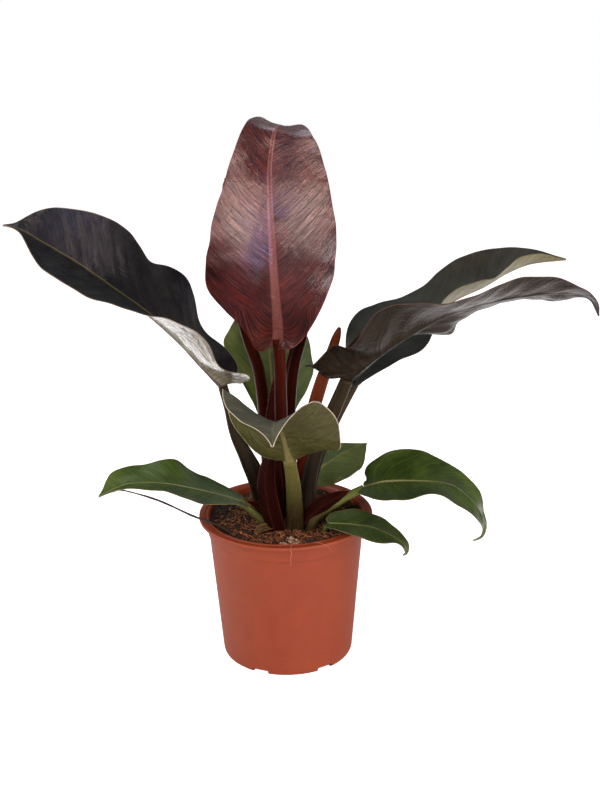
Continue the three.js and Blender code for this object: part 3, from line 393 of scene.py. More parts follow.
# Waxy leaf skin: a smooth cuticle over fleshy tissue gives soft gloss that side veins break into streaks
def leafSkin(name, skin, upperFace):
    material, tree, place = newMaterial(name)
    lay = addNode(tree, "Attribute", attribute_name="leafLay")  # vein count, mm across, mm from the margin
    part = addNode(tree, "Attribute", attribute_name="leafPart")  # share of the midrib's width, along, across
    layXyz = addNode(tree, "SeparateXYZ", {0: lay.outputs["Vector"]})
    partXyz = addNode(tree, "SeparateXYZ", {0: part.outputs["Vector"]})
    # cloudy change of colour over about 30 mm
    cloud = addNode(tree, "TexNoise", {"Vector": place, "Scale": 32.0, "Detail": 3.0, "Roughness": 0.6})
    cloudShare = addNode(tree, "MapRange", {0: cloud, 1: 0.35, 2: 0.68})
    # fine streaks along the side veins, about 1.3 mm apart and 22 mm long
    streakPlace = addNode(tree, "CombineXYZ", {
        0: addNode(tree, "Math", {0: layXyz, 1: 7.5}, operation="MULTIPLY"),
        1: addNode(tree, "Math", {0: layXyz.outputs[1], 1: 0.045}, operation="MULTIPLY")})
    streak = addNode(tree, "TexNoise", {"Vector": streakPlace, "Scale": 1.0, "Detail": 4.0,
                                        "Roughness": 0.65})
    streakShare = addNode(tree, "MapRange", {0: streak, 1: 0.38, 2: 0.62})
    # side veins, a line wherever the vein count is whole
    fromVein = addNode(tree, "Math", {0: layXyz, 1: 0.5}, operation="PINGPONG")
    veinLine = addNode(tree, "MapRange", {0: fromVein, 1: 0.0, 2: 0.045, 3: 1.0, 4: 0.0},
                       interpolation_type="SMOOTHSTEP")
    # midrib and margin; on the silver skin the pale margin colour is partly the edge's own colour and partly
    # a painted highlight along the folded rim
    ribLine = addNode(tree, "MapRange", {0: partXyz, 1: 0.72, 2: 1.05, 3: 1.0, 4: 0.0},
                      interpolation_type="SMOOTHSTEP")
    marginLine = addNode(tree, "MapRange", {0: layXyz.outputs[2], 1: 0.3, 2: 0.75, 3: 1.0, 4: 0.0},
                         interpolation_type="SMOOTHSTEP")
    deep = toLinear(skin["upper"] if upperFace else skin["under"])
    light = toLinear(skin["light"]) if upperFace else [min(1, c * 1.25) for c in deep[:3]] + [1]
    body = addNode(tree, "Mix", {0: cloudShare, 6: deep, 7: light}, data_type="RGBA")
    lighter = addNode(tree, "MapRange", {0: streakShare, 3: 1 - skin["streak"] * 0.5,
                                         4: 1 + skin["streak"] * 0.5})
    streaked = addNode(tree, "VectorMath", {0: body.outputs[2], "Scale": lighter}, operation="SCALE")
    veinShare = addNode(tree, "Math", {0: veinLine, 1: 0.5 if upperFace else 0.8}, operation="MULTIPLY")
    veinColour = toLinear(skin["vein"] if upperFace else skin["underRib"])
    veined = addNode(tree, "Mix", {0: veinShare, 6: streaked, 7: veinColour}, data_type="RGBA")
    # the midrib is grainy at the foot and fades towards the tip to two light edges beside a dark line
    ribGrain = addNode(tree, "TexNoise", {"Vector": place, "Scale": 900.0, "Detail": 2.0})
    ribTone = addNode(tree, "MapRange", {0: ribGrain, 1: 0.3, 2: 0.7, 3: 0.72, 4: 1.25})
    ribColour = addNode(tree, "VectorMath", {0: toLinear(skin["rib"] if upperFace else skin["underRib"])[:3],
                                             "Scale": ribTone}, operation="SCALE")
    ribMiddle = addNode(tree, "MapRange", {0: partXyz, 1: 0.1, 2: 0.8, 3: 0.25, 4: 1.0},
                        interpolation_type="SMOOTHSTEP")
    ribFade = addNode(tree, "MapRange", {0: partXyz.outputs[1], 1: 0.25, 2: 0.6, 3: 1.0, 4: ribMiddle})
    ribShown = addNode(tree, "Math", {0: ribLine, 1: ribFade}, operation="MULTIPLY")
    ribbed = addNode(tree, "Mix", {0: ribShown, 6: veined.outputs[2], 7: ribColour},
                     data_type="RGBA")
    edged = addNode(tree, "Mix", {0: marginLine, 6: ribbed.outputs[2], 7: toLinear(skin["margin"])},
                    data_type="RGBA")
    # cells of about 0.6 mm, streaks and veins in relief
    cells = addNode(tree, "TexNoise", {"Vector": place, "Scale": 1600.0, "Detail": 2.0})
    grain = addNode(tree, "Math", {0: cells, 1: 0.12}, operation="MULTIPLY")
    relief = addNode(tree, "Math", {0: streakShare, 1: 0.5, 2: grain},
                     operation="MULTIPLY_ADD")
    sunk = addNode(tree, "Math", {0: veinLine, 1: -0.7 if upperFace else 0.9, 2: relief},
                   operation="MULTIPLY_ADD")
    # soft creases about 14 mm apart
    crease = addNode(tree, "TexNoise", {"Vector": place, "Scale": 70.0, "Detail": 2.0, "Distortion": 0.8})
    creaseBump = addNode(tree, "Bump", {"Height": crease, "Distance": 0.003,
                                        "Strength": skin["crease"] * (0.4 if upperFace else 1.0)})
    bump = addNode(tree, "Bump", {"Height": sunk, "Strength": skin["relief"], "Distance": 0.0008,
                                  "Normal": creaseBump})
    # the wax lies smoother than the tissue, and is thinner along the dark streaks
    softBump = addNode(tree, "Bump", {"Height": sunk, "Strength": skin["relief"] * 0.3,
                                      "Distance": 0.0008, "Normal": creaseBump})
    coat = skin["coat"] if upperFace else skin["underCoat"]
    if coat:  # a skin without wax keeps a plain 0
        coat = addNode(tree, "MapRange", {0: streakShare, 3: coat * 0.5, 4: coat})
    rough = addNode(tree, "MapRange", {0: streakShare, 3: skin["rough"] + (0.12 if upperFace else 0.2),
                                       4: skin["rough"] - (0.02 if upperFace else 0.0)})
    shader = addNode(tree, "BsdfPrincipled", {
        "Base Color": edged.outputs[2], "Roughness": rough, "IOR": 1.45,
        "Specular IOR Level": skin.get("gloss", 0.45) * (1.0 if upperFace else 0.8),
        "Specular Tint": toLinear(skin["tint"]),
        "Coat Weight": coat, "Coat Roughness": skin["coatRough"], "Coat IOR": 1.65,
        "Coat Normal": softBump, "Normal": bump})
    addNode(tree, "OutputMaterial", {0: shader})
    return material


leafMaterials = {}
for skinName, skin in skins.items():
    leafMaterials[skinName] = [leafSkin("waxyLeafUpper_" + skinName, skin, True),
                               leafSkin("waxyLeafUnder_" + skinName, skin, False)]

# in mm: thick at the midrib, edge at the margin, ribDrop of the midrib below, wave of the margin, veinGap;
# crowd gathers the rows at the foot; veinRise: mm that a vein runs forward for each mm across, veinBend:
# what that gains for each mm more; waveLong and waveShort: mm along for one radian of the two waves
bladeMesh = {"rows": 120, "crowd": 1.15, "thick": 0.9, "edge": 0.6, "ribDrop": 2.6, "wave": 0.6,
             "waveLong": 6.5, "waveShort": 3.7, "veinGap": 9.5, "veinRise": 0.75, "veinBend": 0.004}
# columns as shares of the half width, close at the midrib and the margin
halfColumns = [0, 0.012, 0.025, 0.04, 0.06, 0.085, 0.12, 0.165, 0.22, 0.28, 0.345, 0.415, 0.485, 0.555, 0.625,
               0.69, 0.75, 0.805, 0.855, 0.9, 0.935, 0.962, 0.982, 1]


def bladeGrid(leaf, outline, rows, columns, crowd):
    # spots of the upper face, rows from foot to tip, columns from the left margin to the right
    spots, along, up, _, length = ringsAlong(leaf["midrib"], leaf["face"], rows * 2)
    shares = (np.arange(rows + 1) / rows) ** crowd
    at = shares * (len(spots) - 1)
    steps = np.arange(len(spots))
    middle, toward, face = [np.stack([np.interp(at, steps, a[:, i]) for i in range(3)], 1)
                            for a in (spots, along, up)]
    toward /= np.linalg.norm(toward, axis=1)[:, None]
    face -= (face * toward).sum(1)[:, None] * toward
    face /= np.linalg.norm(face, axis=1)[:, None]
    out = np.cross(toward, face)
    across = np.array([-t for t in reversed(columns[1:])] + list(columns))
    grid = np.zeros((rows + 1, len(across), 3))
    halves = np.zeros((rows + 1, len(across)))
    cup = math.radians(leaf["cup"])
    for j, t in enumerate(across):
        sign, reach = (-1 if t < 0 else 1), abs(t)
        folds = leaf["left"] if sign < 0 else leaf["right"]
        lobe = leaf.get("lobes", [1, 1])[0 if sign < 0 else 1]
        half = eased(outline, 1, shares) * leaf["half"] * eased(folds, 2, shares)
        fold = np.radians(eased(folds, 1, shares))
        back = eased(outline, 2, shares) * length * lobe
        start, turn = fold - cup / 2, fold + cup * (reach - 0.5)
        wide = (np.sin(turn) - np.sin(start)) / cup
        lift = (np.cos(start) - np.cos(turn)) / cup
        grid[:, j] = (middle + (sign * half * wide)[:, None] * out + (half * lift)[:, None] * face
                      - (back * reach ** 1.2)[:, None] * toward)
        halves[:, j] = half
    for share, spot, shareWide, spotWide, x, y, z in leaf.get("pulls", []):
        near = np.exp(-((shares[:, None] - share) / shareWide) ** 2
                      - ((across[None, :] - spot) / spotWide) ** 2)
        near *= np.clip(np.abs(across)[None, :] * 4, 0, 1)  # the midrib stays where it is
        grid += near[:, :, None] * np.array([x, y, z], float)
    return grid, halves, shares, across, length


def faceNormals(grid):
    ahead = np.gradient(grid, axis=0)
    over = np.gradient(grid, axis=1)
    normal = np.cross(over, ahead)
    return normal / np.maximum(np.linalg.norm(normal, axis=2), 1e-9)[:, :, None]


def thinBlade(name, leaf, outline, materials, replaced, settings, ribHalf):
    grid, halves, shares, across, length = bladeGrid(leaf, outline, settings["rows"], halfColumns,
                                                     settings["crowd"])
    rows, wide = grid.shape[:2]
    reach = np.abs(across)[None, :] * np.ones((rows, 1))
    share = shares[:, None] * np.ones((1, wide))
    mmAlong, mmAcross = share * length, reach * halves
    normal = faceNormals(grid)
    # veins leave the midrib forwards and bend up near the margin, less so at the foot
    rise = settings["veinRise"] * np.clip(share / leaf.get("veinTurn", 0.25), 0.15, 1)
    bend = settings["veinBend"] * mmAcross ** 2 * np.clip(share / 0.3, 0, 1)
    veins = (mmAlong - rise * mmAcross - bend) / leaf.get("veinGap", settings["veinGap"])
    random.seed(name)
    turn = random.uniform(0, 6.28)
    # margin waves of a few cm, and the skin rises and sinks a little from vein to vein
    ends = np.clip(share / 0.12, 0, 1) * np.clip((1 - share) / 0.18, 0, 1)
    wave = settings["wave"] * reach ** 3 * ends * (
        np.sin(mmAlong / settings["waveLong"] + turn + np.sign(across)[None, :])
        + 0.5 * np.sin(mmAlong / settings["waveShort"] + 2 * turn))
    inside = np.clip(reach * 6, 0, 1) * np.clip((1 - reach) * 5, 0, 1) * ends
    swell = leaf.get("swell", 0.25) * np.cos(np.pi * veins) * inside
    groove = 0.5 * np.exp(-(mmAcross / (ribHalf * 0.8)) ** 2) * (1 - share)
    grid = grid + normal * (wave + swell - groove)[:, :, None]
    normal = faceNormals(grid)
    body = settings["thick"] + (settings["edge"] - settings["thick"]) * reach
    ribWide = np.maximum(0.8, leaf.get("radii", [1, ribHalf])[1] * (1 - 0.8 * share))
    footDrop = 0.55 * leaf.get("radii", [0, 0])[1] * np.exp(-share / 0.14)
    drop = (settings["ribDrop"] * (1 - 0.8 * share) + footDrop) * np.exp(-(mmAcross / ribWide) ** 2)
    lower = grid - normal * (body + drop)[:, :, None]
    points = np.vstack([grid.reshape(-1, 3), lower.reshape(-1, 3)])
    count = rows * wide
    faces, skinOf = [], []
    for i in range(rows - 1):
        for a in range(i * wide, i * wide + wide - 1):
            faces.append((a, a + 1, a + 1 + wide, a + wide))
            skinOf.append(0)
            faces.append(tuple(count + v for v in (a, a + wide, a + 1 + wide, a + 1)))
            skinOf.append(1)
    rim = ([i * wide for i in range(rows)] + [(rows - 1) * wide + j for j in range(1, wide)]
           + [i * wide + wide - 1 for i in range(rows - 2, -1, -1)] + [j for j in range(wide - 2, 0, -1)])
    for a, b in zip(rim, rim[1:] + rim[:1]):
        faces.append((a, b, count + b, count + a))
        skinOf.append(0)
    ribShare = mmAcross / np.maximum(0.6, ribHalf * (1 - 0.72 * share ** 0.8)
                                     + leaf.get("ribFoot", 0) * np.exp(-share / 0.2))
    lay = np.stack([veins, mmAcross, (1 - reach) * halves], 2).reshape(-1, 3)
    part = np.stack([ribShare, share, reach], 2).reshape(-1, 3)
    marks = {"leafLay": np.vstack([lay, lay]), "leafPart": np.vstack([part, part])}
    return meshPiece(name, points, faces, materials, replaced, skinOf, marks)


for leafName, leaf in leaves.items():
    skin = skins[leaf["skin"]]
    thinBlade("blade_" + leafName, leaf, bladeOutline, leafMaterials[leaf["skin"]],
              ["leaf_" + leafName + "_blade"], bladeMesh, leaf["rib"])
print("blades made:", len(leaves))


# Petioles

# each stalk: its slot, colours at foot and top and of the flecks, roughness, tint of the highlights
stalks = {
    "maroon": {"slot": "petiole_maroon", "low": "#130302", "high": "#34100b", "fleck": "#4a2018",
               "rough": 0.4, "tint": "#a0543f"},
    "dark": {"slot": "petiole_dark", "low": "#0f0905", "high": "#231e12", "fleck": "#3c3924",
             "rough": 0.42, "tint": "#b5a995"},
    "olive": {"slot": "petiole_green", "low": "#1d1409", "high": "#4e4f24", "fleck": "#707243",
              "rough": 0.42, "tint": "#d8d8a0"},
    "green": {"slot": "petiole_green", "low": "#2a240e", "high": "#4d5a26", "fleck": "#747a45",
              "rough": 0.42, "tint": "#d8e0a8"},
    "spear": {"slot": "new_leaf_red", "low": "#4f150a", "high": "#642f18", "fleck": "#8a5a3c",
              "rough": 0.36, "tint": "#e0a080"},
    "stem": {"slot": "stem_tissue", "low": "#2b2015", "high": "#5a4a30", "fleck": "#77683f",
             "rough": 0.7, "tint": "#ffffff"},
}


# Fleshy stalk: taut skin with long fine streaks and lighter flecks, satin gloss
def stalkSkin(name, look):
    material, tree, place = newMaterial(name)
    lay = addNode(tree, "Attribute", attribute_name="stalkLay")  # mm round, share along, mm along
    layXyz = addNode(tree, "SeparateXYZ", {0: lay.outputs["Vector"]})
    # streaks about 1 mm wide and 16 mm long
    streakPlace = addNode(tree, "VectorMath", {0: place, 1: (900.0, 900.0, 60.0)}, operation="MULTIPLY")
    streak = addNode(tree, "TexNoise", {"Vector": streakPlace, "Scale": 1.0, "Detail": 3.0, "Roughness": 0.6})
    streakShare = addNode(tree, "MapRange", {0: streak, 1: 0.4, 2: 0.7})
    # flecks of about 1 mm, over 2 mm apart, clearer higher up
    fleck = addNode(tree, "TexVoronoi", {"Vector": place, "Scale": 420.0, "Randomness": 1.0})
    fleckShare = addNode(tree, "MapRange", {0: fleck.outputs["Distance"], 1: 0.12, 2: 0.25, 3: 0.7, 4: 0.0})
    climb = addNode(tree, "MapRange", {0: layXyz.outputs[1], 1: 0.32, 2: 0.9},
                    interpolation_type="SMOOTHSTEP")
    body = addNode(tree, "Mix", {0: climb, 6: toLinear(look["low"]), 7: toLinear(look["high"])},
                   data_type="RGBA")
    both = addNode(tree, "Math", {0: streakShare, 1: 0.45, 2: fleckShare},
                   operation="MULTIPLY_ADD", use_clamp=True)
    fleckPower = addNode(tree, "MapRange", {0: climb, 3: 0.22, 4: 0.6})
    marked = addNode(tree, "Math", {0: both, 1: fleckPower}, operation="MULTIPLY")
    colour = addNode(tree, "Mix", {0: marked, 6: body.outputs[2], 7: toLinear(look["fleck"])},
                     data_type="RGBA")
    bump = addNode(tree, "Bump", {"Height": streak, "Strength": 0.4, "Distance": 0.0004})
    rough = addNode(tree, "MapRange", {0: streak, 3: look["rough"] + 0.1, 4: look["rough"] - 0.06})
    shader = addNode(tree, "BsdfPrincipled", {"Base Color": colour.outputs[2], "Roughness": rough,
                                              "IOR": 1.45, "Specular IOR Level": 0.3, "Normal": bump,
                                              "Specular Tint": toLinear(look["tint"])})
    addNode(tree, "OutputMaterial", {0: shader})
    return material


stalkMaterials = {name: stalkSkin("stalkSkin_" + name, look) for name, look in stalks.items()}
stalkMesh = {"sides": 24, "inSoil": [118, 127, 138]}  # heights where a stalk stands upright in the soil


def rooted(x, y):
    return [[x, y, z] for z in stalkMesh["inSoil"]]


def stalkPoints(path, face, radii, steps, sides, flatten=0.16, wobble=0.0, seed="stalk"):
    # radii: rows of share and mm; flatten: how flat the upper side is; wobble: share that the radius varies
    spots, along, up, side, length = ringsAlong(path, face, steps)
    share = np.arange(steps + 1) / steps
    radius = eased(radii, 1, share)
    random.seed(seed)
    turns = [random.uniform(0, 6.28) for _ in range(3)]
    radius = radius * (1 + wobble * (np.sin(share * 19 + turns[0]) + 0.6 * np.sin(share * 43 + turns[1])))
    points, marks = [], []
    for k in range(sides):
        turn = 2 * math.pi * k / sides
        flat = 1 - flatten * max(0, math.sin(turn)) ** 2
        points.append(spots + side * (radius * math.cos(turn))[:, None]
                      + up * (radius * flat * math.sin(turn))[:, None])
        marks.append(np.stack([radius * turn, share, share * length], 1))
    points = np.stack(points, 1).reshape(-1, 3)
    marks = np.stack(marks, 1).reshape(-1, 3)
    faces = []
    for i in range(steps):
        for k in range(sides):
            a, b = i * sides + k, i * sides + (k + 1) % sides
            faces.append((a, a + sides, b + sides, b))
    faces.append(tuple(range(sides)))
    faces.append(tuple(steps * sides + k for k in reversed(range(sides))))
    return points, faces, marks


def stalkPiece(name, path, face, radii, steps, look, replaced, **shape):
    points, faces, marks = stalkPoints(path, face, radii, steps, stalkMesh["sides"], seed=name, **shape)
    return meshPiece(name, points, faces, [stalkMaterials[look]], replaced, None,
                     {"stalkLay": marks})


for leafName, leaf in leaves.items():
    # the stalk ends just behind the blade's foot and a little below it
    foot = np.array(leaf["midrib"][0], float)
    toward = np.array(leaf["midrib"][1], float) - foot
    toward /= np.linalg.norm(toward)
    drop = np.array(leaf["face"], float)
    drop -= (drop @ toward) * toward
    drop *= -0.6 * leaf["radii"][1] / np.linalg.norm(drop)
    join = foot - 0.6 * toward + drop
    path = rooted(*leaf["base"]) + leaf["petiole"] + [list(join)]
    first, last = leaf["radii"]
    radii = [[0, first], [0.35, first], [0.75, last * 1.1], [1, last]]
    stalkPiece("petiole_" + leafName, path, [0.1, -1, 0.1], radii, 60, leaf["stalk"],
               ["leaf_" + leafName + "_petiole"], wobble=0.012)
print("petioles made:", len(leaves))

stem = {"spot": (5, -10), "heights": (96, 120, 148), "radius": 6.2}
stalkPiece("crownStem", [[*stem["spot"], z] for z in stem["heights"]], [0, -1, 0],
           [[0, stem["radius"] * 0.5], [0.4, stem["radius"]], [1, stem["radius"] * 0.72]], 24,
           "stem", ["stem"], wobble=0.03)
spear = {"path": rooted(13, 11) + [[18, 11, 200], [30, 10, 256], [43, 10, 298], [54, 10, 332]],
         "radii": [[0, 5], [0.5, 6.2], [0.72, 6.4], [0.88, 4.9], [0.98, 3], [1, 1.6]]}
stalkPiece("rolledLeaf", spear["path"], [0, -1, 0.2], spear["radii"], 90, "spear", ["rolled_new_leaf"])
rootLine = {"path": [[-165, -30, 183], [-159, -30, 185], [-145, -30, 182], [-120, -30, 173], [-89, -30, 157],
                     [-68, -32, 149], [-58, -36, 145], [-49, -40, 139], [-43, -43, 126]],
            "radii": [[0, 0.7], [0.3, 1], [1, 1.1]]}


# Dry root: dead bark, matt, nearly black, rough in patches of about 1.5 mm
def dryRootBark():
    material, tree, place = newMaterial("dryRootBark")
    bark = addNode(tree, "TexNoise", {"Vector": place, "Scale": 700.0, "Detail": 4.0})
    colour = addNode(tree, "Mix", {0: bark, 6: toLinear("#0f0a08"), 7: toLinear("#33251b")},
                     data_type="RGBA")
    bump = addNode(tree, "Bump", {"Height": bark, "Strength": 0.6, "Distance": 0.0005})
    shader = addNode(tree, "BsdfPrincipled", {"Base Color": colour.outputs[2], "Roughness": 0.75,
                                              "Normal": bump})
    addNode(tree, "OutputMaterial", {0: shader})
    return material


points, faces, _ = stalkPoints(rootLine["path"], [0, 0, 1], rootLine["radii"], 120, 10, wobble=0.12,
                               seed="root")
meshPiece("dryRoot", points, faces, [dryRootBark()], ["aerial_root"])

sheaths = {
    "centre_sheath": {
        "midrib": [[-7.5, -17, 122], [-7.5, -17, 140], [-9, -17, 190], [-13, -16, 250], [-9, -16, 291]],
        "face": [0, 1, 0], "half": 7.2, "cup": 60,
        "right": sheathFold, "left": sheathFold},
    "front_sheath": {
        "midrib": [[-9, -33, 122], [-10, -33, 140], [-16, -34, 165], [-18, -36, 200], [-6, -42, 242]],
        "face": [0.2, 1, 0], "half": 11, "cup": 60,
        "right": sheathFold, "left": sheathFold},
}
# Papery sheath: thin dry tissue without wax, so a dull sheen, close fine veins and a pale margin
sheathSkin = {"upper": "#150504", "light": "#240a08", "under": "#170504", "rib": "#240a08",
              "underRib": "#2a100c", "margin": "#5a2c22", "vein": "#1f0807",
              "streak": 0.5, "rough": 0.38, "relief": 0.5, "tint": "#a0543f",
              "crease": 0.2, "coatRough": 0.3, "coat": 0.0, "underCoat": 0.0}
sheathMaterials = [leafSkin("paperySheathInner", sheathSkin, True),
                   leafSkin("paperySheathOuter", sheathSkin, False)]
sheathMesh = dict(bladeMesh, rows=70, ribDrop=0.4, wave=0.3, veinGap=2.5, veinRise=3.0)
for sheathName, sheath in sheaths.items():
    thinBlade("wrap_" + sheathName, sheath, sheathOutline, sheathMaterials, [sheathName],
              sheathMesh, 0.8)

# small clasping sheaths on the low petioles
wings = {
    "lowRight": {"midrib": [[18, -28, 146], [24, -27, 153], [36, -24, 163], [49, -19, 169], [61, -13, 173]],
                 "face": [0.1, 1, -0.2], "half": 10, "cup": 50,
                 "right": sheathFold, "left": sheathFold},
    "lowLeft": {"midrib": [[-14, -17, 146], [-20, -17, 155], [-29, -16, 162], [-37, -17, 166]],
                "face": [-0.1, 1, -0.3], "half": 4, "cup": 50,
                "right": sheathFold, "left": sheathFold},
}
for wingName, wing in wings.items():
    thinBlade("wing_" + wingName, wing, sheathOutline, sheathMaterials, [], sheathMesh, 0.8)

# a thin stalk between the tall ones
thinStalk = {"path": [[2, 12, 150], [0, 10, 210], [0, 5, 262], [3, 4, 291], [6, 5, 304], [9, 6, 318],
                      [10, 9, 345]],
             "radii": [[0, 2], [0.6, 1.8], [1, 1.3]]}
stalkPiece("thinStalk", thinStalk["path"], [0, -1, 0.1], thinStalk["radii"], 50, "maroon", [])
print("stem, young leaf, root and sheaths made")


# Pot

# radii and heights in mm, slotTurn in degrees
pot = {"height": 147, "lip": 85, "lipDepth": 3.6, "neck": 77, "shoulderZ": 128, "shoulder": 75.8,
       "foot": 64.5, "wall": 1.8, "sides": 180,
       "slots": 6, "slotWide": 17, "slotHigh": 4.6, "slotReach": 9, "slotTurn": -25}


# Terracotta-coloured polypropylene, injection moulded with a fine spark finish: matt, faintly mottled
def potPlastic():
    material, tree, place = newMaterial("terracottaPolypropylene")
    # faint clouds of about 22 mm
    cloud = addNode(tree, "TexNoise", {"Vector": place, "Scale": 45.0, "Detail": 4.0, "Roughness": 0.55})
    cloudShare = addNode(tree, "MapRange", {0: cloud, 1: 0.3, 2: 0.7})
    body = addNode(tree, "Mix", {0: cloudShare, 6: toLinear("#7a2e09"), 7: toLinear("#82340c")},
                   data_type="RGBA")
    # light scuffs that run round the wall
    scuffPlace = addNode(tree, "VectorMath", {0: place, 1: (60.0, 60.0, 420.0)}, operation="MULTIPLY")
    scuff = addNode(tree, "TexNoise", {"Vector": scuffPlace, "Scale": 1.0, "Detail": 5.0, "Roughness": 0.7})
    scuffShare = addNode(tree, "MapRange", {0: scuff, 1: 0.6, 2: 0.78, 3: 0.0, 4: 0.16})
    colour = addNode(tree, "Mix", {0: scuffShare, 6: body.outputs[2], 7: toLinear("#bf7458")},
                     data_type="RGBA")
    # spark texture of about 0.4 mm
    grain = addNode(tree, "TexNoise", {"Vector": place, "Scale": 2400.0, "Detail": 2.0})
    bump = addNode(tree, "Bump", {"Height": grain, "Strength": 0.25, "Distance": 0.0002})
    rough = addNode(tree, "MapRange", {0: cloud, 3: 0.5, 4: 0.62})
    shader = addNode(tree, "BsdfPrincipled", {"Base Color": colour.outputs[2], "Roughness": rough,
                                              "IOR": 1.49, "Normal": bump})
    addNode(tree, "OutputMaterial", {0: shader})
    return material


def roundedProfile(corners, reach=0.7, steps=4):
    # each corner of the turned profile becomes a short arc
    made = [corners[0]]
    for before, here, after in zip(corners, corners[1:], corners[2:]):
        here, before, after = (np.array(p, float) for p in (here, before, after))
        cut = [min(reach, np.linalg.norm(other - here) * 0.4) for other in (before, after)]
        start = here + (before - here) / np.linalg.norm(before - here) * cut[0]
        end = here + (after - here) / np.linalg.norm(after - here) * cut[1]
        for t in np.linspace(0, 1, steps):
            made.append(tuple((1 - t) ** 2 * start + 2 * t * (1 - t) * here + t ** 2 * end))
    return made + [corners[-1]]


lip, high, depth, neck = pot["lip"], pot["height"], pot["lipDepth"], pot["neck"]
shoulder, shoulderZ, foot, wall = pot["shoulder"], pot["shoulderZ"], pot["foot"], pot["wall"]
# rounded foot and outer wall, lip from below, its groove and thin inner ridge, inner wall and floor
potProfile = roundedProfile([
    (0, 0), (foot - 3.5, 0), (foot - 1, 1), (foot, 3.5),
    (shoulder - 0.5, shoulderZ - 0.8), (shoulder + 0.6, shoulderZ), (neck, high - depth - 1),
    (lip - 1, high - depth), (lip, high - depth + 0.5), (lip, high - 0.5), (lip - 0.6, high),
    (lip - 5.4, high), (lip - 6, high - 1), (lip - 7, high - 1), (lip - 7.5, high), (lip - 8.6, high),
    (neck - wall, high - 2), (shoulder + 0.6 - wall, shoulderZ), (shoulder - 0.5 - wall, shoulderZ - 1.5),
    (foot + 0.2 - wall, 4), (foot - 4, 2.2), (0, 2.2)], 0.5, 3)
sides = pot["sides"]
points, faces = [(0, 0, potProfile[0][1])], []
for r, z in potProfile[1:-1]:
    points.extend(turnedRing(r, z, sides))
points.append((0, 0, potProfile[-1][1]))
ringCount = len(potProfile) - 2
for k in range(sides):
    n = (k + 1) % sides
    faces.append((0, 1 + n, 1 + k))
    for ring in range(ringCount - 1):
        a = 1 + ring * sides
        faces.append((a + k, a + n, a + sides + n, a + sides + k))
    a = 1 + (ringCount - 1) * sides
    faces.append((a + k, a + n, len(points) - 1))
potPiece = meshPiece("potShell", points, faces, [potPlastic()], ["pot"])

# drain slots, cut through foot and wall by boxes that lie half below the pot's base
cutters = bmesh.new()
slotBox = Vector((pot["slotWide"], pot["slotReach"] * 2, pot["slotHigh"] * 2)) * mm
for k in range(pot["slots"]):
    turn = math.radians(pot["slotTurn"] + 360 / pot["slots"] * k)
    box = bmesh.ops.create_cube(cutters, size=1)["verts"]
    bmesh.ops.scale(cutters, verts=box, vec=slotBox)
    bmesh.ops.translate(cutters, verts=box, vec=Vector((0, -foot - 1, 0)) * mm)
    bmesh.ops.rotate(cutters, verts=box, cent=(0, 0, 0), matrix=Matrix.Rotation(turn, 3, "Z"))
cutMesh = bpy.data.meshes.new("drainCutters")
cutters.to_mesh(cutMesh)
cutters.free()
cutPiece = bpy.data.objects.new("drainCutters", cutMesh)
bpy.context.scene.collection.objects.link(cutPiece)
cut = potPiece.modifiers.new("drainSlots", "BOOLEAN")
cut.operation, cut.object, cut.solver = "DIFFERENCE", cutPiece, "EXACT"
bpy.context.view_layer.update()
cutResult = bpy.data.meshes.new_from_object(potPiece.evaluated_get(bpy.context.evaluated_depsgraph_get()))
potPiece.modifiers.clear()
potPiece.data = cutResult
bpy.data.objects.remove(cutPiece)
potPiece.data.set_sharp_from_angle(angle=math.radians(40))
print("pot made")


# Potting soil

soil = {"z": 139.5, "relief": 1.8, "clear": 0.35, "rings": 60, "sides": 160}  # clear of the wall, in mm
soil["radius"] = shoulder + 0.9 - wall - soil["clear"]


def soilHeight(x, y):
    # low mounds 40 to 50 mm apart, with smaller ones on them
    smooth = math.sin(x * 0.13 + 1.1) * math.cos(y * 0.16 - 0.4) + 0.6 * math.sin(x * 0.31 + y * 0.23)
    return soil["z"] + soil["relief"] * smooth


# Peat, bark, coir, pumice and fine roots are all dull, broken and dusty, so no gleam anywhere: tones change
# from bit to bit and over 2 mm, with flecks of about 0.5 mm
def soilMaterial(name, dark, light, spots):
    material, tree, place = newMaterial(name)
    tone = addNode(tree, "Attribute", attribute_name="crumbTone")
    toneXyz = addNode(tree, "SeparateXYZ", {0: tone.outputs["Vector"]})
    clod = addNode(tree, "TexNoise", {"Vector": place, "Scale": 500.0, "Detail": 6.0, "Roughness": 0.7})
    share = addNode(tree, "Math", {0: clod, 1: 0.5, 2: toneXyz}, operation="MULTIPLY_ADD", use_clamp=True)
    colour = addNode(tree, "Mix", {0: share, 6: toLinear(dark), 7: toLinear(light)}, data_type="RGBA")
    fleck = addNode(tree, "TexVoronoi", {"Vector": place, "Scale": 650.0})
    fleckShare = addNode(tree, "MapRange", {0: fleck.outputs["Distance"], 1: 0.1, 2: 0.2, 3: 0.5, 4: 0.0})
    speckled = addNode(tree, "Mix", {0: fleckShare, 6: colour.outputs[2], 7: toLinear(spots)},
                       data_type="RGBA")
    bump = addNode(tree, "Bump", {"Height": clod, "Strength": 0.9, "Distance": 0.001})
    shader = addNode(tree, "BsdfPrincipled", {"Base Color": speckled.outputs[2], "Roughness": 0.9,
                                              "Normal": bump})
    addNode(tree, "OutputMaterial", {0: shader})
    return material


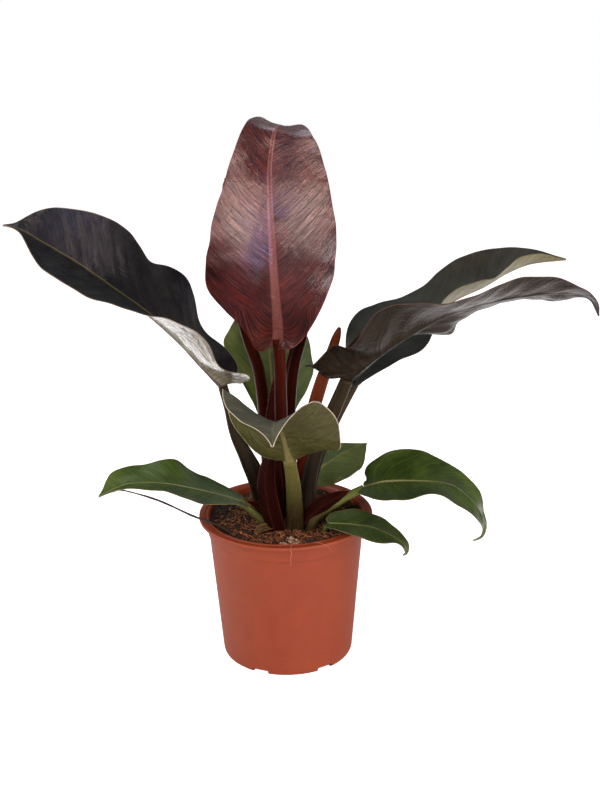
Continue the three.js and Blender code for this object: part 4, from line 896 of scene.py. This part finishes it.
# rough top that rises a little at the wall, then down inside the pot to its floor
points, faces = [(0, 0, soilHeight(0, 0))], []
wallRings = [(shoulder - 1.2 - wall - soil["clear"], shoulderZ - 4), (foot - wall - 0.75, 7),
             (foot - wall - 4.75, 2.6)]
rings, n = soil["rings"], soil["sides"]
for i in range(1, rings + 1):
    for x, y, _ in turnedRing(soil["radius"] * i / rings, 0, n):
        rough = 0 if i == rings else 0.9 * noise.fractal(Vector((x, y, 0)) * 0.25, 1.0, 2.0, 4)
        points.append((x, y, soilHeight(x, y) + rough + 1.2 * (i / rings) ** 8))
for r, z in wallRings:
    points.extend(turnedRing(r, z, n))
for k in range(n):
    k2 = (k + 1) % n
    faces.append((0, 1 + k, 1 + k2))
    for ring in range(rings + len(wallRings) - 1):
        a = 1 + ring * n
        faces.append((a + k, a + n + k, a + n + k2, a + k2))
faces.append(tuple(1 + (rings + len(wallRings) - 1) * n + k for k in reversed(range(n))))
meshPiece("soilBody", points, faces, [soilMaterial("pottingMix", "#120c08", "#3a2818", "#5a3d24")],
          ["soil"])

ball = bmesh.new()
bmesh.ops.create_icosphere(ball, subdivisions=1, radius=1)
ballPoints = np.array([v.co[:] for v in ball.verts])
ballFaces = np.array([[v.index for v in f.verts] for f in ball.faces])
ball.free()


# Loose bits: each a lumpy grain of its own shape; flat ones are bark chips
def looseBits(name, bits, material):
    random.seed(bits["seed"])
    points, faces, tones = [], [], []
    for _ in range(bits["count"]):
        r, turn = bits["reach"] * math.sqrt(random.random()), random.uniform(0, 6.283)
        x, y = bits["middle"][0] + r * math.cos(turn), bits["middle"][1] + r * math.sin(turn)
        size = bits["smallest"] + bits["spread"] * random.random() ** 2.2
        squash = Vector((random.uniform(0.7, 1.3), random.uniform(0.7, 1.3),
                         random.uniform(*bits["flatness"])))
        tilt = random.uniform(0, bits["tilt"])
        spin = Matrix.Rotation(tilt, 3, Vector((random.random(), random.random(), 0.2)))
        shift = Vector([random.uniform(0, 99) for _ in range(3)])
        start = len(points)
        tone = random.random() ** 2
        for v in ballPoints:
            bumpy = 1 + 0.45 * noise.noise(Vector(v) * 1.3 + shift)
            spot = spin @ Vector((v[0] * squash.x, v[1] * squash.y, v[2] * squash.z)) * size * bumpy
            points.append((x + spot.x, y + spot.y, soilHeight(x, y) + size * bits["lift"] + spot.z))
            tones.append((tone, 0, 0))
        faces.extend((ballFaces + start).tolist())
    return meshPiece(name, points, faces, [material], (), None, {"crumbTone": tones})


# middle, reach, smallest and spread of the sizes in mm; tilt in radians; lift as a share of the size
crumbs = {"seed": 11, "count": 2100, "middle": (0, 0), "reach": soil["radius"] - 1.5, "smallest": 0.6,
          "spread": 1.8, "flatness": (0.5, 0.9), "tilt": 6.28, "lift": 0.25}
chips = {"seed": 12, "count": 90, "middle": (0, 0), "reach": soil["radius"] - 4, "smallest": 1.1,
         "spread": 2.0, "flatness": (0.25, 0.45), "tilt": 1.1, "lift": 0.6}
paleGrains = {"seed": 13, "count": 60, "middle": (5, -59), "reach": 11, "smallest": 0.9,
              "spread": 1.3, "flatness": (0.6, 0.9), "tilt": 6.28, "lift": 0.9}
# peat is nearly black with brown bits, pine bark red-brown, pumice pale and chalky
looseBits("soilCrumbs", crumbs, soilMaterial("peatCrumbs", "#150c07", "#5c3a22", "#8a5c38"))
looseBits("barkChips", chips, soilMaterial("pineBarkChips", "#3a1c0e", "#9a6034", "#c08a55"))
looseBits("paleGrains", paleGrains, soilMaterial("pumiceGrains", "#7d5f4c", "#dcc3ae", "#efdccb"))


# Threads: thin curved fibres and root hairs, one mesh for each lot
def threadPiece(name, lines, radius, material):
    points, faces, tones = [], [], []
    for number, line in enumerate(lines):
        radii = [[0, radius * 0.7], [0.4, radius], [1, radius * 0.5]]
        made, madeFaces, _ = stalkPoints(line, [0, 0.3, 1], radii, 10, 5, 0.0, 0.1, name + str(number))
        faces.extend(tuple(v + len(points) for v in f) for f in madeFaces)
        points.extend(made.tolist())
        tones.extend([(random.random(), 0, 0)] * len(made))
    return meshPiece(name, points, faces, [material], (), None, {"crumbTone": tones})


fibres = {"seed": 21, "count": 400, "long": (6, 17), "radius": 0.24, "spots": 4, "clear": 14}
random.seed(fibres["seed"])
lines = []
for _ in range(fibres["count"]):
    r = (soil["radius"] - fibres["clear"]) * math.sqrt(random.random())
    turn, way = random.uniform(0, 6.28), random.uniform(0, 6.28)
    spot, line = Vector((r * math.cos(turn), r * math.sin(turn))), []
    for _ in range(fibres["spots"]):
        line.append((spot.x, spot.y, soilHeight(spot.x, spot.y) + random.uniform(0.4, 2.4)))
        way += random.uniform(-0.8, 0.8)
        step = Vector((math.cos(way), math.sin(way))) * random.uniform(*fibres["long"])
        spot = spot + step / (fibres["spots"] - 1)
    lines.append(line)
# coir is golden brown and dry
threadPiece("coirFibres", lines, fibres["radius"], soilMaterial("coirFibre", "#4c2410", "#b97b49", "#cf9a66"))
# hair roots over the front rim, rusty and dry
rootHairs = [
    [(8, -70, 143), (6.5, -79, 148.6), (4.6, -85.8, 147), (6, -85.8, 141), (4.2, -85, 135),
     (5.6, -83, 130), (4.3, -82, 127)],
    [(22, -68, 144), (31, -76.5, 148.5), (37, -78, 146.6), (42, -77, 142.5), (44, -77, 138.5)],
    [(6, -72, 144), (1, -78, 148.4), (-4, -80, 148), (-9, -79, 148)]]
threadPiece("rootHairs", rootHairs, 0.4, soilMaterial("fineRoot", "#8a4a2c", "#c07a58", "#d69a78"))

# Dried leaf: dead and brittle, no wax, so dull grey-brown with a curled margin
scrapLeaf = {"midrib": [[-29, -37, 141.5], [-23, -35, 144.5], [-15, -32, 145], [-9, -31, 142.5]],
             "face": [0, -0.3, 1], "half": 5, "cup": 40,
             "right": [[0, 30, 1], [1, 10, 1]], "left": [[0, 10, 1], [1, 40, 1]]}
scrapSkin = dict(sheathSkin, upper="#3a3320", light="#5c4a2c", under="#4a3a22", rib="#6b5636",
                 underRib="#6b5636", margin="#7a623e", vein="#2a2416")
scrapMaterials = [leafSkin("driedLeafTop", scrapSkin, True), leafSkin("driedLeafBack", scrapSkin, False)]
scrapMesh = dict(bladeMesh, rows=30, thick=0.5, edge=0.4, ribDrop=0.2, wave=0.5, veinGap=3.0)
thinBlade("driedScrap", scrapLeaf, bladeOutline, scrapMaterials, [], scrapMesh, 0.6)
print("soil made")


# Studio: pale floor, soft light

# brightness of the floor to the eye and to the plant, of the backdrop, and of what glossy leaves mirror
studio = {"floorSeen": 0.9, "floorGlow": 0.12, "ambient": 0.08, "mirroredBack": 0.28, "mirroredStrip": 1.7,
          "stripY": 0.5, "floorCorners": [(-2.2, -1.6, 0), (2.2, -1.6, 0), (2.2, 2.4, 0), (-2.2, 2.4, 0)]}


# Matt emulsion paint on a flat board: even and white, with no gleam
def palePaintedFloor():
    material, tree, place = newMaterial("palePaintedFloor")
    paint = addNode(tree, "TexNoise", {"Vector": place, "Scale": 3.0, "Detail": 2.0})
    rough = addNode(tree, "MapRange", {0: paint, 3: 0.8, 4: 0.9})
    ray = addNode(tree, "LightPath")
    # a strip of bright floor behind the plant shows in glossy leaves
    floorXyz = addNode(tree, "SeparateXYZ", {0: place})
    stripPlace = addNode(tree, "Math", {0: floorXyz.outputs[1], 1: studio["stripY"]}, operation="SUBTRACT")
    stripReach = addNode(tree, "Math", {0: stripPlace}, operation="ABSOLUTE")
    mirrored = addNode(tree, "MapRange", {0: stripReach, 1: 0.1, 2: 0.3, 3: studio["mirroredStrip"],
                                          4: studio["floorGlow"]}, interpolation_type="SMOOTHSTEP")
    glow = addNode(tree, "Mix", {0: ray.outputs["Is Glossy Ray"], 2: studio["floorGlow"], 3: mirrored})
    glow = addNode(tree, "Mix", {0: ray.outputs["Is Camera Ray"], 2: glow, 3: studio["floorSeen"]})
    shader = addNode(tree, "BsdfPrincipled", {
        "Base Color": (0.75, 0.75, 0.75, 1), "Roughness": rough, "Specular IOR Level": 0.1,
        "Emission Color": (1, 1, 1, 1), "Emission Strength": glow})
    addNode(tree, "OutputMaterial", {0: shader})
    return material


floorMesh = bpy.data.meshes.new("floor")
floorMesh.from_pydata(studio["floorCorners"], [], [(0, 1, 2, 3)])
floorMesh.materials.append(palePaintedFloor())
floor = bpy.data.objects.new("floor", floorMesh)
bpy.context.scene.collection.objects.link(floor)

# The backdrop looks white and lights the plant only a little, as in a studio with dark walls
world = bpy.data.worlds.new("studioWorld")
world.use_nodes = True
worldTree = world.node_tree
seen = addNode(worldTree, "LightPath")
towards = addNode(worldTree, "SeparateXYZ", {0: addNode(worldTree, "TexCoord").outputs["Generated"]})
backdrop = addNode(worldTree, "MapRange", {0: towards.outputs[1], 1: 0.05, 2: 0.5, 3: 0.03,
                                           4: studio["mirroredBack"]})
glow = addNode(worldTree, "Mix", {0: seen.outputs["Is Glossy Ray"], 2: studio["ambient"], 3: backdrop})
glow = addNode(worldTree, "Mix", {0: seen.outputs["Is Camera Ray"], 2: glow, 3: 1.0})
worldTree.links.new(glow.outputs[0], worldTree.nodes["Background"].inputs[1])
worldTree.nodes["Background"].inputs[0].default_value = (1, 1, 1, 1)
bpy.context.scene.world = world

lights = [
    # name, place in m, width and height in m, watts, colour
    ("leftSoftbox", (-0.85, -1.5, 1.15), (0.7, 0.9), 18, "#ffe2d4"),
    ("rightFrontSoftbox", (1.3, -1.25, 0.6), (0.5, 1.4), 22, "#ffdccb"),
    ("warmFrontSoftbox", (-0.25, -1.6, 1.42), (0.7, 0.5), 9, "#ffdccb"),
    ("coolFrontSoftbox", (0.35, -1.95, 0.4), (0.45, 0.8), 5, "#b9c0ff"),
    ("rightSoftbox", (1.8, -0.3, 0.75), (0.5, 1.2), 10, "#ffeee6"),
    ("leftSideSoftbox", (-1.8, -0.2, 0.75), (0.5, 1.2), 24, "#f8f2f0"),
    ("overheadSoftbox", (-0.2, 0.3, 1.9), (1.0, 0.7), 12, "#e9eeff"),
    ("coolFloorCard", (0.3, -0.85, 0.04), (0.35, 0.8), 3, "#b4bcff"),
    ("lowBounceCard", (0.56, -0.62, 0.03), (0.4, 0.6), 2.4, "#ffdccb"),
]
for lightName, spot, size, watts, colour in lights:
    light = bpy.data.lights.new(lightName, "AREA")
    light.shape = "RECTANGLE"
    light.size, light.size_y = size
    light.energy = watts
    light.color = toLinear(colour)[:3]
    lamp = bpy.data.objects.new(lightName, light)
    lamp.location = spot
    lamp.rotation_euler = (Vector((0, 0, 0.3)) - Vector(spot)).to_track_quat("-Z", "Y").to_euler()
    bpy.context.scene.collection.objects.link(lamp)

bpy.context.scene.view_settings.view_transform = "Standard"
bpy.context.scene.cycles.use_denoising = True
print("studio set")
